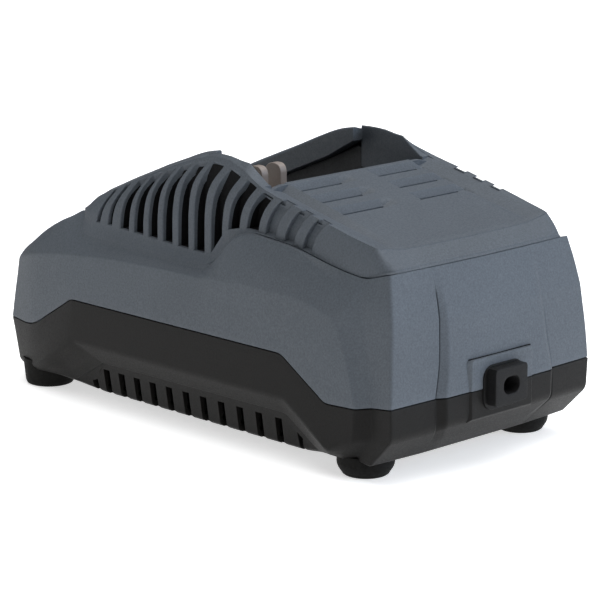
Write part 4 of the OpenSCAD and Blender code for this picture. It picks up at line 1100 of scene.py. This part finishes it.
for v in [-87.5] + [0] * 13 + [63.8]:
    if v:
        keys.append(side_key(v))
        kind_b.append("wall")
    elif len(vent_cols) < 13:
        i = len(vent_cols)
        keys.append(side_key(VENT[i]))
        kind_b.append("gap")
        keys.append(side_key(VENT[i] + 4.0))
        kind_b.append("wall")
        vent_cols.append(i)
        if i == 0:
            keys.append(side_key(-69.2))
            kind_b.append("wall")
        if i == 11:
            keys.append(side_key(49.8))
            kind_b.append("wall")
keys += [
    low_key((62.6, 77.7, 30.6), (62.6, 78.2, 11.4), (61.8, 77.8, 10.4), (59.2, 76.6, 8.7), (57.2, 75.6, 7.6), 2.2, (-1, -0.1)),
    low_key((62.6, 94.5, 31.4), (62.5, 93.3, 17.6), (61.8, 89.6, 13.9), (60.6, 85.6, 10.6), (58.4, 84, 8.0), 0.9, (-1, -0.2)),
    low_key((58.3, 99.6, 32.1), (58.3, 99.5, 18.6), (57.3, 94.5, 13.2), (56.2, 89.4, 8.4), (55.4, 88.4, 7.6), 0.7, (-0.9, -0.3)),
    low_key((59.8, 111.4, 33.8), (59.2, 111.2, 20.4), (58.9, 105.8, 14.8), (58.7, 99.6, 8.5), (57.4, 98.0, 7.6), 1.2, (-0.8, -0.6)),
    low_key((35.6, 112.65, 34), (35.4, 112.7, 21), (32.6, 107.5, 15), (31, 101.6, 8.6), (31, 100, 7.8), 0.2, (0, -1)),
    low_key((34.95, 112.5, 34), (34.4, 112.3, 21.2), (31.8, 107.4, 15), (30, 101.6, 8.6), (30, 100, 7.8), 0.3, (0, -1)),
    low_key((31.6, 115.2, 34.1), (31.4, 115.3, 22.4), (26.6, 108.3, 14.8), (24, 101.6, 8.6), (24, 100, 7.8), 0.8, (0, -1)),
    low_key((0, 115.7, 34.1), (0, 115.8, 22.4), (0, 108.4, 14.8), (0, 101.6, 8.6), (0, 100, 7.8), 8, (0, -1)),
]
kind_b += ["wall"] * 8
b_cols, b_reach = [k[0] for k in keys], np.array([k[1] for k in keys], float)
b_cols = np.array(b_cols)
crease = np.where((b_cols[:, 0, 1] > 108), 2.4, 1.5)
fine_cols = []
for q, c in enumerate(b_cols):
    fine_cols.append(fillet(c, [0, crease[q], 2.2, 0.5, 0.25, 0, 0.7, 0.5, 0, 0], [0, 5, 3, 3, 2, 0, 3, 3, 0, 0],
                            [3, 0, 0, 0, 0, 2, 0, 0, 0, 0]))
fine_cols = np.array(fine_cols)                                  # columns x rows x 3
# rows of the vents: from the top of the slot to the end of its cut under the edge
count = [1, 6, 4, 4, 3, 1, 4, 4, 1, 1]
gaps = [3, 0, 0, 0, 0, 2, 0, 0, 0]
starts = [0]
for q in range(9):
    starts.append(starts[-1] + count[q] + gaps[q])
V0, V1 = starts[5], starts[8]
rows_b = []
hr = np.concatenate([b_reach, b_reach[-2:0:-1]])                 # corner rounds
for j in range(fine_cols.shape[1]):
    half = fine_cols[:, j, :]
    lp = np.concatenate([half, half[-2:0:-1] * [-1, 1, 1]])
    rows_b.append(fillet(lp, hr, np.where(hr < 0.1, 0, np.where(hr < 0.5, 1, 3)), 1, closed=True))
rows_b = np.array(rows_b)
# which spans are open: the span after a "gap" key runs to the next key
spans = []
mirror_k = kind_b[:]
for i in range(len(kind_b) - 2, 0, -1):
    mirror_k.append("gap" if kind_b[i - 1] == "gap" else "wall")
n_of = np.where(hr < 0.1, 0, np.where(hr < 0.5, 1, 3))
for i in range(len(hr)):
    for q in range(int(n_of[i])):
        spans.append("wall")
    for q in range(2):
        spans.append(mirror_k[i])
top = rows_b[0]
lid = [inward(top, 1.5, 0.45), inward(top, 1.45, -0.42), inward(top, 0.36, -0.42), inward(top, 0.1, -0.5)]
first = top - [0, 0, 0.76]
outer = np.array(lid + [first] + list(rows_b[1:]))
V0, V1 = V0 + 4, V1 + 4
inner = []
for j in range(len(outer)):
    if j < 5:
        inner.append(inward(top, 3.0, 0.45 - 0.3 * j))
    elif j < 4 + starts[6]:
        inner.append(inward(outer[j], 2.4, 0.6))
    else:
        inner.append(inward(outer[j], 1.4, 2.0))
inner = np.array(inner)
spans = spans[:outer.shape[1]]
mask_b = np.ones((len(outer) - 1, outer.shape[1]), bool)
for c, k in enumerate(spans):
    if k == "gap":
        mask_b[V0:V1, c] = False


def ring_plate(O, I, mask):
    """Like plate, for a wall that closes on itself."""
    R, C = O.shape[:2]
    n = R * C
    F = []
    for r in range(R - 1):
        for c in range(C):
            if not mask[r][c]:
                continue
            c1 = (c + 1) % C
            a, b, d, e = r * C + c, r * C + c1, (r + 1) * C + c1, (r + 1) * C + c
            F += [(a, b, d, e), (n + a, n + e, n + d, n + b)]
            for p, q, rr, cc in ((a, b, r - 1, c), (b, d, r, c1), (d, e, r + 1, c), (e, a, r, (c - 1) % C)):
                if not (0 <= rr < R - 1 and mask[rr][cc]):
                    F.append((q, p, n + p, n + q))
    return np.concatenate([O.reshape(-1, 3), I.reshape(-1, 3)]), F


piece("base_shell", *ring_plate(outer, inner, mask_b), BLACK, "black_plastic", node="base_tray", smooth=30, weld=2e-6)

# the underside, lower in the vented middle
secs = []
for y, w, z in ((-120, 38, 8.3), (-117, 44, 8.2), (-104, 49, 8.2), (-98, 49.5, 8.1), (-90, 47, 6.9), (-84, 46, 5.2), (-78, 45, 3.5),
                (-74, 44.8, 3.35), (55, 44.8, 3.35), (58, 45, 3.5), (64, 46, 5.3), (70, 48, 7.2), (76, 50.5, 8.0), (84, 51, 8.2), (92, 52, 8.0), (96, 48, 8.2)):
    secs.append([(-w, y, z + 0.35), (-w + 0.35, y, z), (w - 0.35, y, z), (w, y, z + 0.35), (w, y, z + 2), (w - 0.3, y, z + 2.3), (-w + 0.3, y, z + 2.3), (-w, y, z + 2)])
piece("base_floor", *loft(secs), BLACK, "black_plastic", node="base_tray", smooth=30)
secs = []
for s in (-1, 1):
    for k in range(6):
        x = s * (8 + 6.5 * k)
        secs.append(soft_prism([(x - 1.2, 3.0), (x + 1.2, 3.0), (x + 1.2, 4.2), (x - 1.2, 4.2)], -70, 50, e=0.4, axis="y", r=0.5, n=3))
piece("base_ribs", *join(secs), BLACK, "black_plastic", node="base_tray", smooth=30)

# ------------------------------------------------------------------ gland and its pad
def pad_half(z0, z1, round_top):
    o = [(-18.1, z0 + (0 if round_top else 1.3)), (18.1, z0 + (0 if round_top else 1.3)), (18.1, z1), (-18.1, z1)]
    f = [(-19.5, z0), (19.5, z0), (19.5, z1), (-19.5, z1)]
    rr = [0.05, 0.05, 2.0, 2.0] if round_top else [0.4, 0.4, 0.05, 0.05]
    def ring(poly, y, off):
        p = np.array([[a, b, 0.0] for a, b in poly])
        q = fillet(p, rr, 4, 0, closed=True)
        c = np.array([0, (z0 + z1) / 2])
        out = []
        for a, b, _ in q:
            out.append((a - np.sign(a) * off, y, b - (np.sign(b - c[1]) * off if (b < c[1]) != round_top else 0)))
        return out
    return loft([ring(f, 109.5, 0), ring(f, 114.7, 0), ring(mixp(f, o, 0.86), 116.02, 0), ring(o, 116.26, 0.05), ring(o, 116.34, 0.35)])


def mixp(f, o, t):
    return [(a[0] + (b[0] - a[0]) * t, a[1] + (b[1] - a[1]) * t) for a, b in zip(f, o)]


piece("gland_pad_upper", *pad_half(34.22, 46.85, True), BLUE, "blue_plastic", node="main_housing", smooth=30)
piece("gland_pad_lower", *pad_half(21.2, 33.82, False), BLACK, "black_plastic", node="base_tray", smooth=30)
# a near-black bar flush with the surface: the painted shadow line of the gap above the pad
gap = [(-18.3, 46.7), (17.8, 46.7), (18.5, 46.9), (18.3, 47.12), (-18.6, 47.12)]
piece("pad_shadow_gap", *soft_prism(gap, 110, 114.98, e=0.1, axis="y", r=0.15, n=2), SHADE_BLACK, "dark_plastic", node="main_housing")


def squircle(w, h, r, cz, n=64):
    """Points of a rounded rectangle about (0, cz), one for each angle."""
    out = []
    for k in range(n):
        a = 2 * math.pi * k / n
        c, s = math.cos(a), math.sin(a)
        lo, hi = 0.0, w + h
        for _ in range(40):
            t = (lo + hi) / 2
            qx, qz = max(abs(c * t) - (w - r), 0), max(abs(s * t) - (h - r), 0)
            inside = abs(c * t) <= w and abs(s * t) <= h and math.hypot(qx, qz) <= r
            lo, hi = (t, hi) if inside else (lo, t)
        out.append((c * lo, s * lo + cz))
    return out


def tube(rings):
    """Rings of equal counts joined in order and back to the first."""
    S = np.array([[(x, y, z) for x, z in ring] for ring, y in rings], float)
    m, n = S.shape[:2]
    return S.reshape(-1, 3), grid_faces(m, n, close_c=True, close_r=True)


GZ = 34.7
block = tube([(squircle(9.7, 7.75, 1.3, 34.75), 115.6), (squircle(9.65, 7.7, 1.2, 34.75), 120.9),
              (squircle(9.52, 7.58, 1.2, 34.75), 121.28), (squircle(9.2, 7.26, 1.0, 34.75), 121.45),
              (squircle(5.2, 4.0, 3.5, GZ), 121.45), (squircle(4.8, 3.65, 3.3, GZ), 121.3), (squircle(4.6, 3.45, 3.2, GZ), 120.8),
              (squircle(4.3, 3.4, 3.1, GZ), 118.5), (squircle(3.45, 3.4, 3.35, GZ), 115.6)])
collar = tube([(squircle(11.8, 9.3, 5.4, 34.1), 108.6), (squircle(11.8, 9.3, 5.4, 34.1), 116.75), (squircle(11.68, 9.18, 5.3, 34.1), 116.95),
               (squircle(11.4, 8.9, 5.1, 34.1), 117.05), (squircle(9.0, 7.0, 1.3, 34.75), 117.05), (squircle(3.45, 3.4, 3.35, GZ), 116.2),
               (squircle(3.45, 3.4, 3.35, GZ), 108.6)])
flange = tube([(squircle(15.4, 11, 2.0, 34.5), 104.8), (squircle(15.4, 11, 2.0, 34.5), 109.1), (squircle(15.1, 10.7, 2.0, 34.5), 109.4),
               (squircle(3.5, 3.45, 3.35, GZ), 109.4), (squircle(3.5, 3.45, 3.35, GZ), 104.6), (squircle(15.1, 10.7, 2.0, 34.5), 104.6)])
piece("mains_gland", *join([block, collar, flange]), GLAND, "gland_rubber", node="cord_gland", smooth=35)

# ------------------------------------------------------------------ feet
front_p = [(3.8, 0.4), (3.8, 3.2), (1.7, 3.2), (1.7, 12.3), (11.2, 12.3), (11.85, 12.0), (11.6, 9.0), (10.95, 2.4), (10.85, 1.6), (10.55, 1.0),
           (10.5, 0.75), (10.2, 0.3), (9.6, 0.05), (9.2, 0.0), (8.6, 0.3), (5.6, 0.3), (5.0, 0.0), (4.3, 0.05)]
rear_p = [(3.8, 0.4), (3.8, 3.2), (1.7, 3.2), (1.7, 9.4), (11.2, 9.4), (11.75, 9.0), (11.8, 5.4), (11.65, 4.4), (11.2, 3.2), (10.4, 2.0), (10.0, 1.6),
          (9.9, 1.2), (9.5, 0.6), (8.9, 0.15), (8.4, 0.0), (7.8, 0.3), (5.6, 0.3), (5.0, 0.0), (4.3, 0.05)]
for s, side in ((1, "near"), (-1, "far")):
    piece("front_foot_" + side, *revolve(front_p, (s * 47.5, -112, 0)), RUBBER, "rubber", node="front_feet", smooth=32)
    piece("rear_foot_" + side, *revolve(rear_p, (s * 46.7, 85.4, 0)), RUBBER, "rubber", node="rear_feet", smooth=32)

# ------------------------------------------------------------------ terminals
fin = [(-27, 92), (-27, 101), (-24, 104.6), (-21.4, 105.6), (-18, 105.6), (-16.2, 104.4), (-15.5, 102.4), (-15.5, 92)]
parts = [soft_prism(fin, x - 2, x + 2, e=0.55, axis="x", r=1.1, n=4) for x in (-5.5, 5.5)]
sl = math.tan(math.radians(21.8))
zb = 51 + sl * (-22 + 118.5)
foot_o = [(-29.6, zb - sl * 7.6 + 0.1), (-29.2, zb - sl * 7.2 + 3.1), (-15.8, zb + sl * 6.2 + 3.1), (-15.2, zb + sl * 6.8 + 0.1)]
parts.append(soft_prism(foot_o, -20.8, 20.8, e=0.7, axis="x", r=0.8, n=3))
piece("terminal_housing", *join(parts), BEIGE, "beige_plastic", node="terminal_block", smooth=35)

# ------------------------------------------------------------------ dock tray
DZ = 51 + sl * (118.5 - 9.6)
tray = [soft_prism([(-118.5, 51.0), (-9.6, DZ), (28.3, DZ), (28.3, DZ - 2.4), (-9.0, DZ - 2.4), (-118.5, 48.4)], -45.3, 45.3, e=0.25, axis="x", r=0.5, n=3)]
side = [(-118.5, 48.4), (-118.5, 54), (-115, 58.5), (-110, 64.5), (-101, 71.5), (-90, 78.2), (-86, 78.7), (-84.6, 76.8), (-47.5, 92.7),
        (-23, 103.0), (-9, 109.5), (-7.6, 108.6), (-7.2, 100), (28.3, 100), (28.3, DZ - 2.4), (-9, DZ - 2.4)]
for s in (-1, 1):
    v, f = soft_prism(side, 44.7, 46.5, e=0.25, axis="x", r=0.6, n=3)
    tray.append((v, f) if s > 0 else flipx((v, f)))
# the dock walls take the darker copy of the blue: painted shade
piece("dock_liner", *join(tray), DOCK_SHADE, "dark_plastic", node="dock_tray", smooth=30)


# ------------------------------------------------------------------ openings through the shells
def carve(ob, part):
    """Cuts a closed shape out of a piece."""
    v, f = part
    v = np.asarray(v, float) + [0, DY, 0]
    me = bpy.data.meshes.new("cut")
    me.from_pydata((v * MM).tolist(), [], [list(map(int, q)) for q in f])
    clean(me)
    tool = bpy.data.objects.new("cut", me)
    bpy.context.scene.collection.objects.link(tool)
    mod = ob.modifiers.new("cut", "BOOLEAN")
    mod.operation = "DIFFERENCE"
    mod.solver = "EXACT"
    mod.object = tool
    while ob.modifiers[0] != mod:
        ob.modifiers.move(len(ob.modifiers) - 1, 0) if hasattr(ob.modifiers, "move") else None
    keep = [m for m in ob.modifiers if m != mod]
    for m in keep:
        m.show_viewport = False
    dg = bpy.context.evaluated_depsgraph_get()
    new = bpy.data.meshes.new_from_object(ob.evaluated_get(dg))
    ob.modifiers.remove(mod)
    for m in keep:
        m.show_viewport = True
    ob.data = new
    bpy.data.objects.remove(tool)
    bpy.data.meshes.remove(me)


def prism_of(ring, y0, y1):
    return loft([[(x, y, z) for x, z in ring] for y in (y0, y1)])


OBJ = bpy.data.objects
carve(housing, prism_of(squircle(12.2, 2.7, 0.8, 38.5, 48), -140, -118))
hole = squircle(10.6, 8.4, 4.6, 34.3, 48)
for name in ("housing_shell", "base_shell", "gland_pad_upper", "gland_pad_lower", "pad_shadow_gap"):
    if name != "pad_shadow_gap":
        carve(OBJ[name], prism_of(hole, 100, 119))
